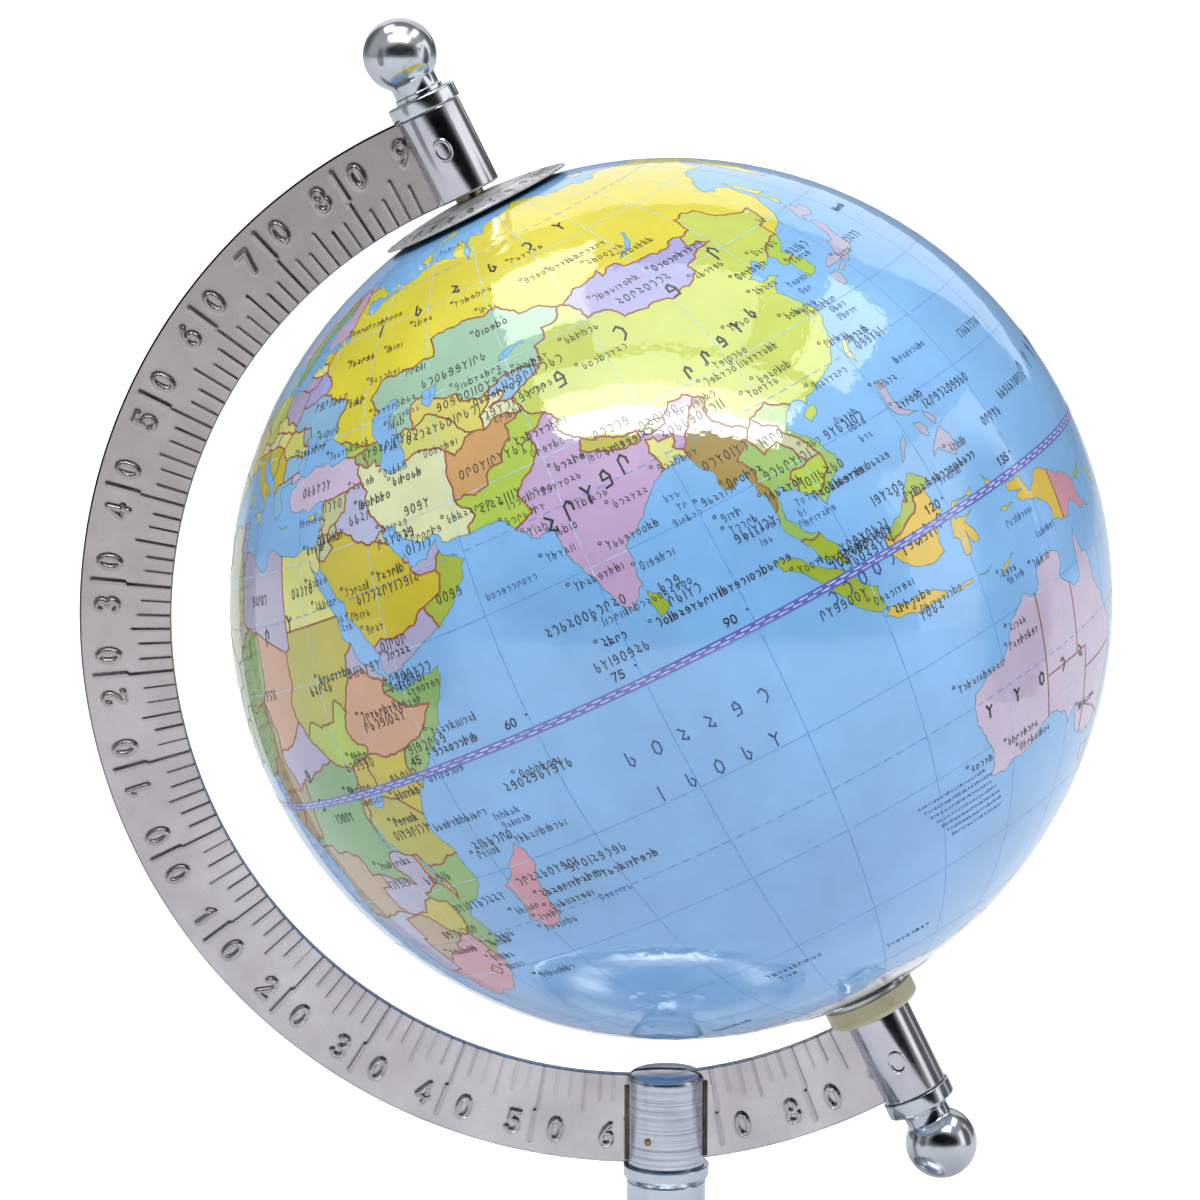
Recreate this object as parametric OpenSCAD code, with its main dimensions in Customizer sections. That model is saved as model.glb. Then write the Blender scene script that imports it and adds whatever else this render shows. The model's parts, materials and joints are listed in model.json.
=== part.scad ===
// Desktop globe on a tilted arc stand.
// Frame: millimetres, +Z up, origin at the centre of the underside of the base pad.
// The column stands on Z. The arc lies in the XZ plane, on the -X side of the globe.

/* [Globe] */
// Radius of the finished globe, over the printed skin
globe_r = 63.5; // [60:0.5:66]
// Height of the globe's centre above the table
globe_z = 140; // [138:1:150]
// Distance of the globe's centre to the +X side of the column's axis
globe_x = 0.5; // [0:0.1:1]
// Lean of the polar axis from the vertical, towards -X at the top
tilt = 26.4; // [22:0.1:28]
// Thickness of the printed and laminated skin
skin_t = 0.25; // [0.2:0.05:0.4]
// Wall of the two moulded half shells
shell_t = 1.4; // [1:0.1:2]
// Width of the tape that covers the equator joint
tape_w = 1.2; // [0.8:0.1:3]
// Thickness of that tape
tape_t = 0.06; // [0.05:0.01:0.1]

/* [Arc] */
// Inner radius of the arc's band
arc_ri = 66.3; // [66:0.1:67]
// Width of the band
arc_w = 13.4; // [12:0.1:14]
// Thickness of the sheet
arc_t = 1.3; // [1:0.1:1.5]
// Distance of the arc's centre from the polar axis
arc_off = 7.5; // [7:0.1:8]
// Distance of the arc's centre below the globe's centre, along the axis
arc_drop = 0.95; // [0.8:0.05:1.1]
// Outer radius of the two rolled sleeves
sleeve_r = 4.85; // [4.7:0.05:5]
// Inner radius of the two rolled sleeves
sleeve_ri = 3.6; // [3.5:0.05:3.7]

/* [Axle] */
// Radius of the axle rod
axle_r = 1.6; // [1.5:0.05:1.8]
// Radial clearance of what turns on the axle
run_gap = 0.06; // [0.03:0.01:0.1]
// Radial clearance of what is fixed on a rod or in a hole
fit_gap = 0.02; // [0.01:0.01:0.05]
// Radius of the ball nuts
ball_r = 5.25; // [5:0.05:5.5]
// Radius of the cap rings
ring_r = 5.15; // [5:0.05:5.4]

/* [Pole fittings] */
// Radius of the hour dial
dial_r = 14.2; // [13:0.1:15]
// Height of the dial's underside above the globe
dial_gap = 0.8; // [0.7:0.05:0.9]
// Thickness of the dial
dial_t = 0.4; // [0.3:0.05:0.5]
// Radius of the clear disc at the south pole
disc_r = 12.9; // [11:0.1:14]
// Radius of the nylon collar at the south pole
collar_r = 6.9; // [6.5:0.1:7.5]

/* [Column] */
// Radius of the slotted head
head_r = 5.7; // [5.5:0.1:6]
// Radius of the ferrule below the head
ferrule_r = 6.3; // [6.2:0.1:6.6]
// Radius of the column
column_r = 5.8; // [5.6:0.1:6]

/* [Base] */
// Radius of the base over its rolled rim
base_r = 50; // [46:1:54]
// Height of the top of the base's boss
base_h = 15; // [14:0.5:17]
// Thickness of the base's sheet
base_t = 0.9; // [0.7:0.1:1.2]

/* [Hidden] */
$fn = 96;
tiny = 0.01;

// globe
shell_r = globe_r - skin_t;
shell_ri = shell_r - shell_t;
lap_h = 3;
lap_t = 0.6;
pole_hole_r = 4;
bush_flange_r = 6;

// stations along the polar axis, from the globe's centre; north is positive
north_bush_top = globe_r + 0.55;
sleeve_n0 = 65.35;
sleeve_n1 = 78.5;
ring_n1 = 80.75;
ball_n = 87.2;
south_bush_end = globe_r + 0.5;
washer_s0 = globe_r + 0.6;
washer_s1 = globe_r + 1.15;
sleeve_s0 = 67.75;
sleeve_s1 = 80.9;
ring_s1 = 83.3;
ball_s = 89.6;
plug_l = 4.5;
plug_r = sleeve_ri - fit_gap;
spacer_r = 2.15;
thread_bite = 3.5;
nut_bore = axle_r + fit_gap;
neck_r = 3.35;
neck_foot_r = 3.6;

// arc
arc_ro = arc_ri + arc_w;
// where the sheet runs into the sleeve's wall, measured from the polar axis
sheet_end = (sleeve_r + sleeve_ri) / 2;
corner_gap = 0.1;

// arc's centre in the upright frame
arc_x = globe_x - arc_off * cos(tilt) + arc_drop * sin(tilt);
arc_z = globe_z - arc_off * sin(tilt) - arc_drop * cos(tilt);

// column: the ferrule's top is just below the lowest edge of the arc
ferrule_z1 = arc_z - arc_ro - 0.1;
ferrule_z0 = ferrule_z1 - 2.4;
// the head stands a little higher than the arc's inner edge
head_z1 = arc_z - arc_ri + 0.75;
head_round = 1.4;
spigot_r = 4.5;
spigot_l = 14;
slot_w = arc_t + 0.06;
slot_z0 = ferrule_z1 + 0.02;
rivet_r = 0.7;
rivet_x = -2.4;
rivet_z = ferrule_z1 + 4.4;
bead_r = 0.45;
screw_r = 2.4;
screw_l_in = 14;
screw_head_r = 4.6;
screw_head_h = 2.4;
washer_r = 6.5;
washer_t = 1;

// base
pad_t = 1.5;
pad_r = base_r - 3.5;
rim_bead = 1.6;
rim_z = pad_t + 0.9;
boss_r = 9;
dome_edge_r = base_r - 4;
dome_edge_z = rim_z + 3.2;
dome_top_z = base_h - 2.2;
weight_r = base_r - 8;
weight_h = 5.8;
pocket_r = 7.2;
pocket_h = screw_head_h + washer_t + 0.3;

// ---- helpers ----

// Moves children from the polar frame, with its origin at the globe's centre and +Z to the north pole.
module on_axis() {
  translate([globe_x, 0, globe_z]) rotate([0, -tilt, 0]) children();
}

// The same, with +Z to the south pole.
module on_axis_south() {
  on_axis() mirror([0, 0, 1]) children();
}

// A tube along Z from z0 to z1.
module tube(r_out, r_in, z0, z1) {
  difference() {
    translate([0, 0, z0]) cylinder(r = r_out, h = z1 - z0);
    translate([0, 0, z0 - 1]) cylinder(r = r_in, h = z1 - z0 + 2);
  }
}

// A spherical wall about the origin.
module ball_wall(r_out, r_in) {
  difference() {
    sphere(r = r_out);
    sphere(r = r_in);
  }
}

// Everything at or above the plane z = z0.
module above(z0) {
  translate([-100, -100, z0]) cube([200, 200, 200]);
}

// Points of an arc, counter-clockwise where a1 is larger than a0.
function arc_points(cx, cy, r, a0, a1, steps) =
  [for (i = [0:steps]) let (a = a0 + (a1 - a0) * i / steps) [cx + r * cos(a), cy + r * sin(a)]];

// ---- base ----

// The pad covers the whole underside, the screw's pocket included.
module base_pad() {
  color("dimgray") cylinder(r = pad_r, h = pad_t);
}

// Outer outline of the spun dome from the rim up to the boss, as [radius, height].
function dome_outline(inset) = concat(
  arc_points(base_r - rim_bead, rim_z, rim_bead - inset, 0, 90, 6),
  [[dome_edge_r + 0.8, rim_z + rim_bead - inset], [dome_edge_r - inset, dome_edge_z - inset * 0.6]],
  [for (i = [1:10]) let (a = 90 * i / 10)
    [dome_edge_r - (dome_edge_r - boss_r - 2) * (1 - cos(a)) - inset * cos(a),
     dome_edge_z + (dome_top_z - dome_edge_z) * sin(a) - inset]],
  [[boss_r - inset, dome_top_z + 0.8 - inset], [boss_r - inset, base_h - 0.7 - inset],
   [boss_r - 0.7 - inset, base_h - inset]]);

module base_dome() {
  outer = dome_outline(0);
  inner = dome_outline(base_t);
  color("silver") difference() {
    rotate_extrude() polygon(concat(
      [[base_r - rim_bead - base_t, rim_z - rim_bead + 0.9], [base_r - 0.5, rim_z - rim_bead + 0.9]],
      outer, [[screw_r + fit_gap, base_h], [screw_r + fit_gap, base_h - base_t]],
      [for (i = [len(inner) - 1:-1:0]) inner[i]],
      [[base_r - rim_bead - base_t, rim_z]]));
  }
}

module base_weight() {
  color("dimgray") difference() {
    union() {
      translate([0, 0, pad_t]) cylinder(r = weight_r, h = weight_h);
      translate([0, 0, pad_t]) cylinder(r = boss_r - base_t - 0.8, h = base_h - base_t - pad_t);
    }
    translate([0, 0, pad_t - 1]) cylinder(r = pocket_r, h = pocket_h + 1);
    cylinder(r = screw_r + fit_gap, h = base_h);
  }
}

module base_washer() {
  color("gainsboro")
    tube(washer_r, screw_r + fit_gap, pad_t + pocket_h - washer_t, pad_t + pocket_h);
}

module base_screw() {
  head_z = pad_t + pocket_h - washer_t;
  color("gray") difference() {
    union() {
      translate([0, 0, head_z - screw_head_h]) cylinder(r = screw_head_r, h = screw_head_h);
      translate([0, 0, head_z - tiny]) cylinder(r = screw_r, h = base_h + screw_l_in - head_z);
    }
    // hexagon socket
    translate([0, 0, head_z - screw_head_h - 1]) cylinder(r = 2.2, h = 2.4, $fn = 6);
  }
}

// ---- column ----

module column_rod() {
  color("silver") difference() {
    translate([0, 0, base_h]) cylinder(r = column_r, h = ferrule_z0 - base_h);
    translate([0, 0, base_h - 1]) cylinder(r = screw_r + fit_gap, h = screw_l_in + 2);
    translate([0, 0, ferrule_z1 - spigot_l - 0.5]) cylinder(r = spigot_r + fit_gap, h = spigot_l);
  }
}

module column_ferrule() {
  chamfer = 0.5;
  color("lightgray") rotate_extrude() polygon([
    [spigot_r + fit_gap, ferrule_z0], [ferrule_r - chamfer, ferrule_z0],
    [ferrule_r, ferrule_z0 + chamfer * 1.6], [ferrule_r, ferrule_z1 - 0.2],
    [ferrule_r - 0.2, ferrule_z1], [spigot_r + fit_gap, ferrule_z1]]);
}

module column_head() {
  color("darkgray") difference() {
    rotate_extrude() polygon(concat(
      [[0, ferrule_z1 - spigot_l], [spigot_r, ferrule_z1 - spigot_l], [spigot_r, ferrule_z1],
       [head_r, ferrule_z1]],
      arc_points(head_r - head_round, head_z1 - head_round - 0.25, head_round, 0, 80, 6),
      [[0, head_z1]]));
    translate([-head_r - 1, -slot_w / 2, slot_z0]) cube([2 * head_r + 2, slot_w, head_z1]);
    translate([rivet_x, 0, rivet_z]) rotate([90, 0, 0])
      cylinder(r = rivet_r + fit_gap, h = 2 * head_r + 2, center = true);
  }
}

// The rivet's ends are flush with the head's round side.
module arc_rivet() {
  reach = sqrt(head_r * head_r - rivet_x * rivet_x) + 0.1;
  color("darkgoldenrod") translate([rivet_x, 0, rivet_z]) rotate([90, 0, 0])
    cylinder(r = rivet_r, h = 2 * reach, center = true);
}

// Four runs of braze, where the sheet leaves the slot on both faces and both sides.
module braze_beads() {
  bead_x = head_r - 0.05;
  for (sx = [-1, 1], sy = [-1, 1]) {
    edge = arc_z - sqrt(pow(arc_ro, 2) - pow(sx * bead_x - arc_x, 2));
    color("sienna") translate([sx * bead_x, sy * arc_t / 2, edge + 0.5]) difference() {
      cylinder(r = bead_r, h = arc_w - 2.2);
      translate([-1, sy > 0 ? -2 : 0, -1]) cube([2, 2, arc_w]);
    }
  }
}

// ---- arc and axle ----

// The flat band, sleeves still solid.
module arc_blank() {
  translate([-arc_off, 0, -arc_drop]) rotate([90, 0, 0])
    linear_extrude(height = arc_t, center = true) difference() {
      circle(r = arc_ro, $fn = 180);
      circle(r = arc_ri, $fn = 180);
      translate([arc_off - sheet_end, -2 * arc_ro]) square([3 * arc_ro, 4 * arc_ro]);
    }
  translate([0, 0, sleeve_n0]) cylinder(r = sleeve_r, h = sleeve_n1 - sleeve_n0);
  translate([0, 0, -sleeve_s1]) cylinder(r = sleeve_r, h = sleeve_s1 - sleeve_s0);
}

module meridian_arc() {
  color("rosybrown") difference() {
    on_axis() difference() {
      arc_blank();
      translate([0, 0, sleeve_n0 - 2]) cylinder(r = sleeve_ri, h = sleeve_n1 - sleeve_n0 + 4);
      translate([0, 0, -sleeve_s1 - 2]) cylinder(r = sleeve_ri, h = sleeve_s1 - sleeve_s0 + 4);
      // the sheet's corners are cut back beside the top ring and the collar
      translate([0, 0, sleeve_n1]) cylinder(r = ring_r + corner_gap, h = 3);
      translate([0, 0, -sleeve_s0]) cylinder(r = collar_r + corner_gap, h = 3);
    }
    translate([rivet_x, 0, rivet_z]) rotate([90, 0, 0])
      cylinder(r = rivet_r + fit_gap, h = 4 * arc_t, center = true);
  }
}

module axle_rod() {
  color("slategray") on_axis() translate([0, 0, -ring_s1 - thread_bite])
    cylinder(r = axle_r, h = ring_s1 + ring_n1 + 2 * thread_bite);
}

// A ring with a plug that centres the axle in the sleeve.
module cap_ring(z0, z1) {
  edge = 0.25;
  rotate_extrude() polygon([
    [axle_r + fit_gap, z0 - plug_l], [plug_r, z0 - plug_l], [plug_r, z0], [ring_r, z0],
    [ring_r, z1 - edge], [ring_r - edge, z1], [axle_r + fit_gap, z1]]);
}

// A ball with a neck and a short foot, blind-tapped for the axle.
module ball_nut(z0, z_ball) {
  difference() {
    union() {
      translate([0, 0, z0]) cylinder(r = neck_foot_r, h = 0.7);
      translate([0, 0, z0]) cylinder(r = neck_r, h = z_ball - z0);
      translate([0, 0, z_ball]) sphere(r = ball_r);
    }
    translate([0, 0, z0 - 1]) cylinder(r = nut_bore, h = thread_bite + 1.5);
  }
}

module top_cap_ring() {
  color("lightsteelblue") on_axis() cap_ring(sleeve_n1, ring_n1);
}

module top_ball_nut() {
  color("silver") on_axis() ball_nut(ring_n1, ball_n);
}

module bottom_cap_ring() {
  color("lightsteelblue") on_axis_south() cap_ring(sleeve_s1, ring_s1);
}

module bottom_ball_nut() {
  color("silver") on_axis_south() ball_nut(ring_s1, ball_s);
}

// ---- pole fittings ----

// A thin dome that follows the globe, free on the axle.
module hour_dial() {
  inner_r = globe_r + dial_gap;
  color("lightgray") on_axis() intersection() {
    ball_wall(inner_r + dial_t, inner_r);
    translate([0, 0, inner_r - 5]) tube(dial_r, axle_r + run_gap, 0, 10);
  }
}

module dial_spacer() {
  nose_z = globe_r + dial_gap + dial_t + 0.05;
  color("goldenrod") on_axis() rotate_extrude() polygon([
    [axle_r + fit_gap, nose_z], [spacer_r, nose_z], [spacer_r, sleeve_n0],
    [plug_r, sleeve_n0], [plug_r, sleeve_n0 + plug_l], [axle_r + fit_gap, sleeve_n0 + plug_l]]);
}

module south_washer() {
  color("gainsboro") on_axis_south() tube(collar_r - 0.3, axle_r + fit_gap, washer_s0, washer_s1);
}

module south_collar() {
  round_r = 1;
  color("cornsilk") on_axis_south() rotate_extrude() polygon(concat(
    [[axle_r + fit_gap, washer_s1], [collar_r, washer_s1]],
    arc_points(collar_r - round_r, sleeve_s0 - round_r, round_r, 0, 90, 5),
    [[plug_r, sleeve_s0], [plug_r, sleeve_s0 + plug_l], [axle_r + fit_gap, sleeve_s0 + plug_l]]));
}

module south_pole_disc() {
  color("lightcyan") on_axis_south() intersection() {
    ball_wall(globe_r + 0.4, globe_r);
    translate([0, 0, globe_r - 5]) tube(disc_r, pole_hole_r, 0, 10);
  }
}

// A flanged bush, pushed into the pole's hole from inside the shell.
module pole_bush(z_end) {
  seat_z = sqrt(shell_ri * shell_ri - bush_flange_r * bush_flange_r);
  difference() {
    union() {
      translate([0, 0, seat_z - 1.6]) cylinder(r = bush_flange_r, h = 1.6);
      translate([0, 0, seat_z - 1.6]) cylinder(r = pole_hole_r, h = z_end - seat_z + 1.6);
    }
    translate([0, 0, seat_z - 3]) cylinder(r = axle_r + run_gap, h = z_end);
  }
}

module north_pole_bush() {
  color("ivory") on_axis() pole_bush(north_bush_top);
}

module south_pole_bush() {
  color("ivory") on_axis_south() pole_bush(south_bush_end);
}

// ---- globe ----

// Northern half shell, with the outer half of the lap joint.
module globe_shell_north() {
  color("lightblue") on_axis() difference() {
    intersection() {
      ball_wall(shell_r, shell_ri);
      above(0);
    }
    cylinder(r = pole_hole_r, h = 2 * shell_r);
  }
}

// Southern half shell, with a lip inside the northern one.
module globe_shell_south() {
  lip_r = sqrt(shell_ri * shell_ri - lap_h * lap_h) - fit_gap;
  color("lightblue") on_axis_south() {
    difference() {
      intersection() {
        ball_wall(shell_r, shell_ri);
        above(0);
      }
      cylinder(r = pole_hole_r, h = 2 * shell_r);
    }
    tube(lip_r, lip_r - lap_t, -lap_h, 0);
    tube(shell_ri + 0.2, lip_r - lap_t, 0, 1);
  }
}

// One half of the printed skin, with a round hole at its pole.
module map_skin() {
  difference() {
    intersection() {
      ball_wall(globe_r, shell_r);
      above(0);
    }
    cylinder(r = pole_hole_r, h = 2 * shell_r);
  }
}

module map_skin_north() {
  color("khaki") on_axis() map_skin();
}

module map_skin_south() {
  color("skyblue") on_axis_south() map_skin();
}

module equator_tape() {
  color("royalblue") on_axis() intersection() {
    ball_wall(globe_r + tape_t, globe_r);
    translate([0, 0, -tape_w / 2]) cylinder(r = 2 * globe_r, h = tape_w);
  }
}

base_pad();
base_dome();
base_weight();
base_washer();
base_screw();
column_rod();
column_ferrule();
column_head();
arc_rivet();
braze_beads();
meridian_arc();
axle_rod();
top_cap_ring();
top_ball_nut();
bottom_cap_ring();
bottom_ball_nut();
dial_spacer();
hour_dial();
south_washer();
south_collar();
south_pole_disc();
north_pole_bush();
south_pole_bush();
globe_shell_north();
globe_shell_south();
map_skin_north();
map_skin_south();
equator_tape();
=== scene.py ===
import json
import math
import random

import bmesh
import bpy
import numpy as np
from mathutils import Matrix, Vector
from mathutils.geometry import delaunay_2d_cdt


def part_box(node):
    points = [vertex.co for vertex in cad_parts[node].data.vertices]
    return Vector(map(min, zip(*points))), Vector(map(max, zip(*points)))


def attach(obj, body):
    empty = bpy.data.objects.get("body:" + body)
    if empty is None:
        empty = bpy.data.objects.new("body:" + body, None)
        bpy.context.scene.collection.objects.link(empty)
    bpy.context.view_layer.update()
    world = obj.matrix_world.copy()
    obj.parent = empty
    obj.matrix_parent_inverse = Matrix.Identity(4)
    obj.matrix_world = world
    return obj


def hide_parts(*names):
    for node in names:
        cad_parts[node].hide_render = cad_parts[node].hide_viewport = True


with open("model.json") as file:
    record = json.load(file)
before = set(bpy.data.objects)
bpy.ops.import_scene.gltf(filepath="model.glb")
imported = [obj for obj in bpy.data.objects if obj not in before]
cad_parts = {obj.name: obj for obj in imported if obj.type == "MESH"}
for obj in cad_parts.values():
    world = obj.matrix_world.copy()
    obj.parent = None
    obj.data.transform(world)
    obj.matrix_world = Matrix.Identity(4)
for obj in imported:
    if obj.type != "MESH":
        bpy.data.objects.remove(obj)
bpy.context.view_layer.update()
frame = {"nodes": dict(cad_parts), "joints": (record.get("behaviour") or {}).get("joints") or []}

# Lengths in this script are millimetres of the real object; MM turns them into Blender's metres.
MM = 0.001

# ---- the shared frame: where the polar axis is, and the sizes that the CAD nodes give ----

spin = next(j for j in frame["joints"] if j["name"] == "globe_spin")
CENTRE = Vector(spin["pos_m"]) / MM
NORTH = Vector(spin["axis"]).normalized()
FRONT = Vector((0, -1, 0))
SIDE = Vector((0, 1, 0)).cross(NORTH)
BACK = Vector((0, 1, 0))

GLOBE_R = 63.5
SHELL_R = GLOBE_R - 0.25
POLE_HOLE_R = 4.0

# longitude that faces the front, and the latitude where the map stops
FRONT_LON = 75.5
POLE_LAT = 90 - math.degrees(math.asin(POLE_HOLE_R / GLOBE_R))

# arc: inner radius, width and thickness of the sheet, and where its centre is, beside and below the globe's
ARC_RI, ARC_W, ARC_T = 66.3, 13.4, 1.3
ARC_RO = ARC_RI + ARC_W
ARC_OFF, ARC_DROP = 7.5, 0.95
# the sleeves: outer and inner radius, and each one's two ends along the axle
SLEEVE_R, SLEEVE_RI = 4.85, 3.6
SLEEVE_N = (65.35, 78.5)
SLEEVE_S = (67.75, 80.9)

# column and base
COLUMN_R, FERRULE_R, HEAD_R = 5.8, 6.3, 5.7
BASE_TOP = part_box("base_dome")[1].z / MM
FERRULE_Z = (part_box("column_ferrule")[0].z / MM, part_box("column_ferrule")[1].z / MM)
HEAD_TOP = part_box("column_head")[1].z / MM
BASE_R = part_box("base_dome")[1].x / MM


def polar(x, y, z):
    """A point of the polar frame: origin at the globe's centre, z to the north pole, x away from the arc."""
    return CENTRE + SIDE * x + BACK * y + NORTH * z


def upright(x, y, z):
    return Vector((x, y, z))


def south(x, y, z):
    """The polar frame turned over, with z to the south pole."""
    return polar(x, y, -z)


# ---- mesh helpers ----


def make_object(name, verts, faces, body, materials=(), slots=None, normals=None):
    """An object from points in millimetres. slots gives each face's material, normals each point's."""
    mesh = bpy.data.meshes.new(name)
    mesh.from_pydata([Vector(v) * MM for v in verts], [], faces)
    for material in materials:
        mesh.materials.append(material)
    if slots is not None:
        mesh.polygons.foreach_set("material_index", slots)
    mesh.polygons.foreach_set("use_smooth", [True] * len(mesh.polygons))
    mesh.update()
    if normals is not None:
        mesh.normals_split_custom_set_from_vertices(normals)
    piece = bpy.data.objects.new(name, mesh)
    bpy.context.scene.collection.objects.link(piece)
    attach(piece, body)
    return piece


def oval(x, y, rx, ry, a0=0, a1=360, steps=14):
    """Points along an oval about (x, y), from a0 to a1 degrees."""
    angles = [math.radians(a0 + (a1 - a0) * i / steps) for i in range(steps + 1)]
    return [(x + rx * math.cos(a), y + ry * math.sin(a)) for a in angles]


def arc_pts(x, y, r, a0, a1, steps):
    return oval(x, y, r, r, a0, a1, steps)


def filleted(corners, steps=5):
    """Rounds a closed outline: each corner is (x, y, radius)."""
    out = []
    n = len(corners)
    for i, (x, y, r) in enumerate(corners):
        p = Vector((x, y))
        if r <= 0:
            out.append((x, y))
            continue
        a = Vector(corners[i - 1][:2]) - p
        b = Vector(corners[(i + 1) % n][:2]) - p
        half = a.angle(b) / 2
        reach = min(r / math.tan(half), a.length * 0.49, b.length * 0.49)
        p0, p1 = p + a.normalized() * reach, p + b.normalized() * reach
        for k in range(steps + 1):
            t = k / steps
            q = p0 * (1 - t) ** 2 + p * 2 * t * (1 - t) + p1 * t * t
            out.append((q.x, q.y))
    return out


def lathe(name, outline, place, body, material, segments=144, sharp=35):
    """Turns a closed outline of (radius, height) round z. Points at radius 0 close on the axis."""
    rings, verts = [], []
    for r, z in outline:
        if r < 1e-6:
            rings.append([len(verts)] * segments)
            verts.append(place(0, 0, z))
            continue
        rings.append(list(range(len(verts), len(verts) + segments)))
        for k in range(segments):
            a = 2 * math.pi * k / segments
            verts.append(place(r * math.cos(a), r * math.sin(a), z))
    faces = []
    for i, low in enumerate(rings):
        high = rings[(i + 1) % len(rings)]
        if low[0] == low[1] and high[0] == high[1]:
            continue
        for k in range(segments):
            m = (k + 1) % segments
            quad = [low[k], low[m], high[m], high[k]]
            faces.append(list(dict.fromkeys(quad)))
    return solid(name, verts, faces, body, material, sharp)


def fix_outside(mesh):
    """Turns a closed mesh's faces outwards where its signed volume is negative."""
    co = np.empty(len(mesh.vertices) * 3)
    mesh.vertices.foreach_get("co", co)
    co = co.reshape(-1, 3)
    mesh.calc_loop_triangles()
    tri = np.empty(len(mesh.loop_triangles) * 3, int)
    mesh.loop_triangles.foreach_get("vertices", tri)
    a, b, c = (co[tri.reshape(-1, 3)[:, i]] for i in range(3))
    if np.einsum("ij,ij->i", a, np.cross(b, c)).sum() < 0:
        mesh.flip_normals()


def solid(name, verts, faces, body, material, sharp):
    """A closed object with its faces outwards; edges that turn by more than sharp degrees stay crisp."""
    piece = make_object(name, verts, faces, body, [material])
    fix_outside(piece.data)
    piece.data.set_sharp_from_angle(angle=math.radians(sharp))
    return piece


def join(name, pieces):
    """Joins pieces into the first one, on the stand."""
    with bpy.context.temp_override(
        active_object=pieces[0], selected_editable_objects=pieces, selected_objects=pieces
    ):
        bpy.ops.object.join()
    pieces[0].name = name
    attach(pieces[0], "stand")
    return pieces[0]

# ---- material helpers: a colour is (red, green, blue), each 0 to 255 ----


def linear(rgb):
    """An sRGB colour as the linear one that a node takes."""
    parts = [c / 255 for c in rgb]
    return tuple(p / 12.92 if p <= 0.04045 else ((p + 0.055) / 1.055) ** 2.4 for p in parts) + (1.0,)


def scaled(rgb, factor, lift=0):
    return tuple(min(255, c * factor + lift) for c in rgb)


def add_node(tree, kind, values=(), links=(), **props):
    """A shader node with values or links for its inputs, and its properties."""
    made = tree.nodes.new("ShaderNode" + kind)
    for key, value in props.items():
        setattr(made, key, value)
    for key, value in dict(values).items():
        made.inputs[key].default_value = value
    for key, source in dict(links).items():
        tree.links.new(source, made.inputs[key])
    return made


class Material:
    """A node material under construction."""

    def __init__(self, name, **shader):
        self.data = bpy.data.materials.new(name)
        self.data.use_nodes = True
        self.tree = self.data.node_tree
        self.shader = self.tree.nodes["Principled BSDF"]
        self.coords = self.tree.nodes.new("ShaderNodeTexCoord").outputs["Object"]
        self.bumps = None
        for key, value in shader.items():
            self.shader.inputs[key.replace("_", " ")].default_value = value

    def node(self, kind, values=(), links=(), **props):
        return add_node(self.tree, kind, values, links, **props)

    def stretched(self, x, y, z, turn=0.0):
        """Object coordinates scaled by x, y and z per metre, turned about Y first."""
        rotated = self.node("Mapping", {"Rotation": (0, turn, 0)}, {"Vector": self.coords})
        return self.node("Mapping", {"Scale": (x, y, z)}, {"Vector": rotated.outputs[0]}).outputs[0]

    def noise(self, scale, detail=3.0, roughness=0.55, coords=None):
        links = {"Vector": coords or self.coords}
        values = {"Scale": scale, "Detail": detail, "Roughness": roughness}
        return self.node("TexNoise", values, links).outputs["Fac"]

    def attribute(self, name):
        """A number that the mesh carries at each point."""
        return self.node("Attribute", attribute_name=name).outputs["Fac"]

    def ramp(self, source, *stops):
        """Stops are (position, value) with a number or a colour for the value."""
        made = self.node("ValToRGB", links={"Fac": source})
        bar = made.color_ramp
        for element, (at, value) in zip(bar.elements, stops):
            element.position = at
            element.color = linear(value) if isinstance(value, tuple) else (value, value, value, 1)
        return made.outputs["Color"]

    def connect(self, sockets, sources):
        """Gives each socket its source: another socket, a colour or a number."""
        for socket, source in zip(sockets, sources):
            if isinstance(source, bpy.types.NodeSocket):
                self.tree.links.new(source, socket)
            else:
                socket.default_value = linear(source) if isinstance(source, tuple) else source

    def mix(self, factor, a, b):
        made = self.node("Mix", data_type="RGBA")
        self.connect([made.inputs[i] for i in (0, 6, 7)], (factor, a, b))
        return made.outputs[2]

    def multiply(self, a, b):
        made = self.node("Math", operation="MULTIPLY")
        self.connect(made.inputs, (a, b))
        return made.outputs[0]

    def feed(self, socket, source):
        self.tree.links.new(source, self.shader.inputs[socket])

    def bump(self, source, strength, distance):
        """Adds a bump, distance in millimetres, on top of the ones added before."""
        links = {"Height": source}
        if self.bumps is not None:
            links["Normal"] = self.bumps
        made = self.node("Bump", {"Strength": strength, "Distance": distance * MM}, links)
        self.bumps = made.outputs[0]
        self.feed("Normal", self.bumps)

    def coat_bump(self, source, strength, distance):
        """A bump of the clear coat alone, distance in millimetres."""
        made = self.node("Bump", {"Strength": strength, "Distance": distance * MM}, {"Height": source})
        self.feed("Coat Normal", made.outputs[0])


def metal(name, light, dark, rough, lines=None, grime=None, bump=0.25, smudge=(0.6, 1.7)):
    """Worn bright metal: a cloudy tint, smudged roughness, and fine lines along the way it was worked."""
    m = Material(name, Metallic=1.0)
    tint = m.ramp(m.noise(90, 5), (0.3, dark), (0.7, light))
    if grime:
        spots = m.ramp(m.noise(420, 4, 0.7), (0.62, 0.0), (0.74, 1.0))
        tint = m.mix(spots, tint, grime)
    m.feed("Base Color", tint)
    smudges = m.ramp(m.noise(230, 6, 0.65), (0.3, rough * smudge[0]), (0.72, rough * smudge[1]))
    m.feed("Roughness", smudges)
    if lines:
        m.bump(m.noise(1.0, 2, coords=m.stretched(*lines)), bump, 0.01)
    m.bump(m.noise(1500, 3), 0.12, 0.01)
    return m.data


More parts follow.
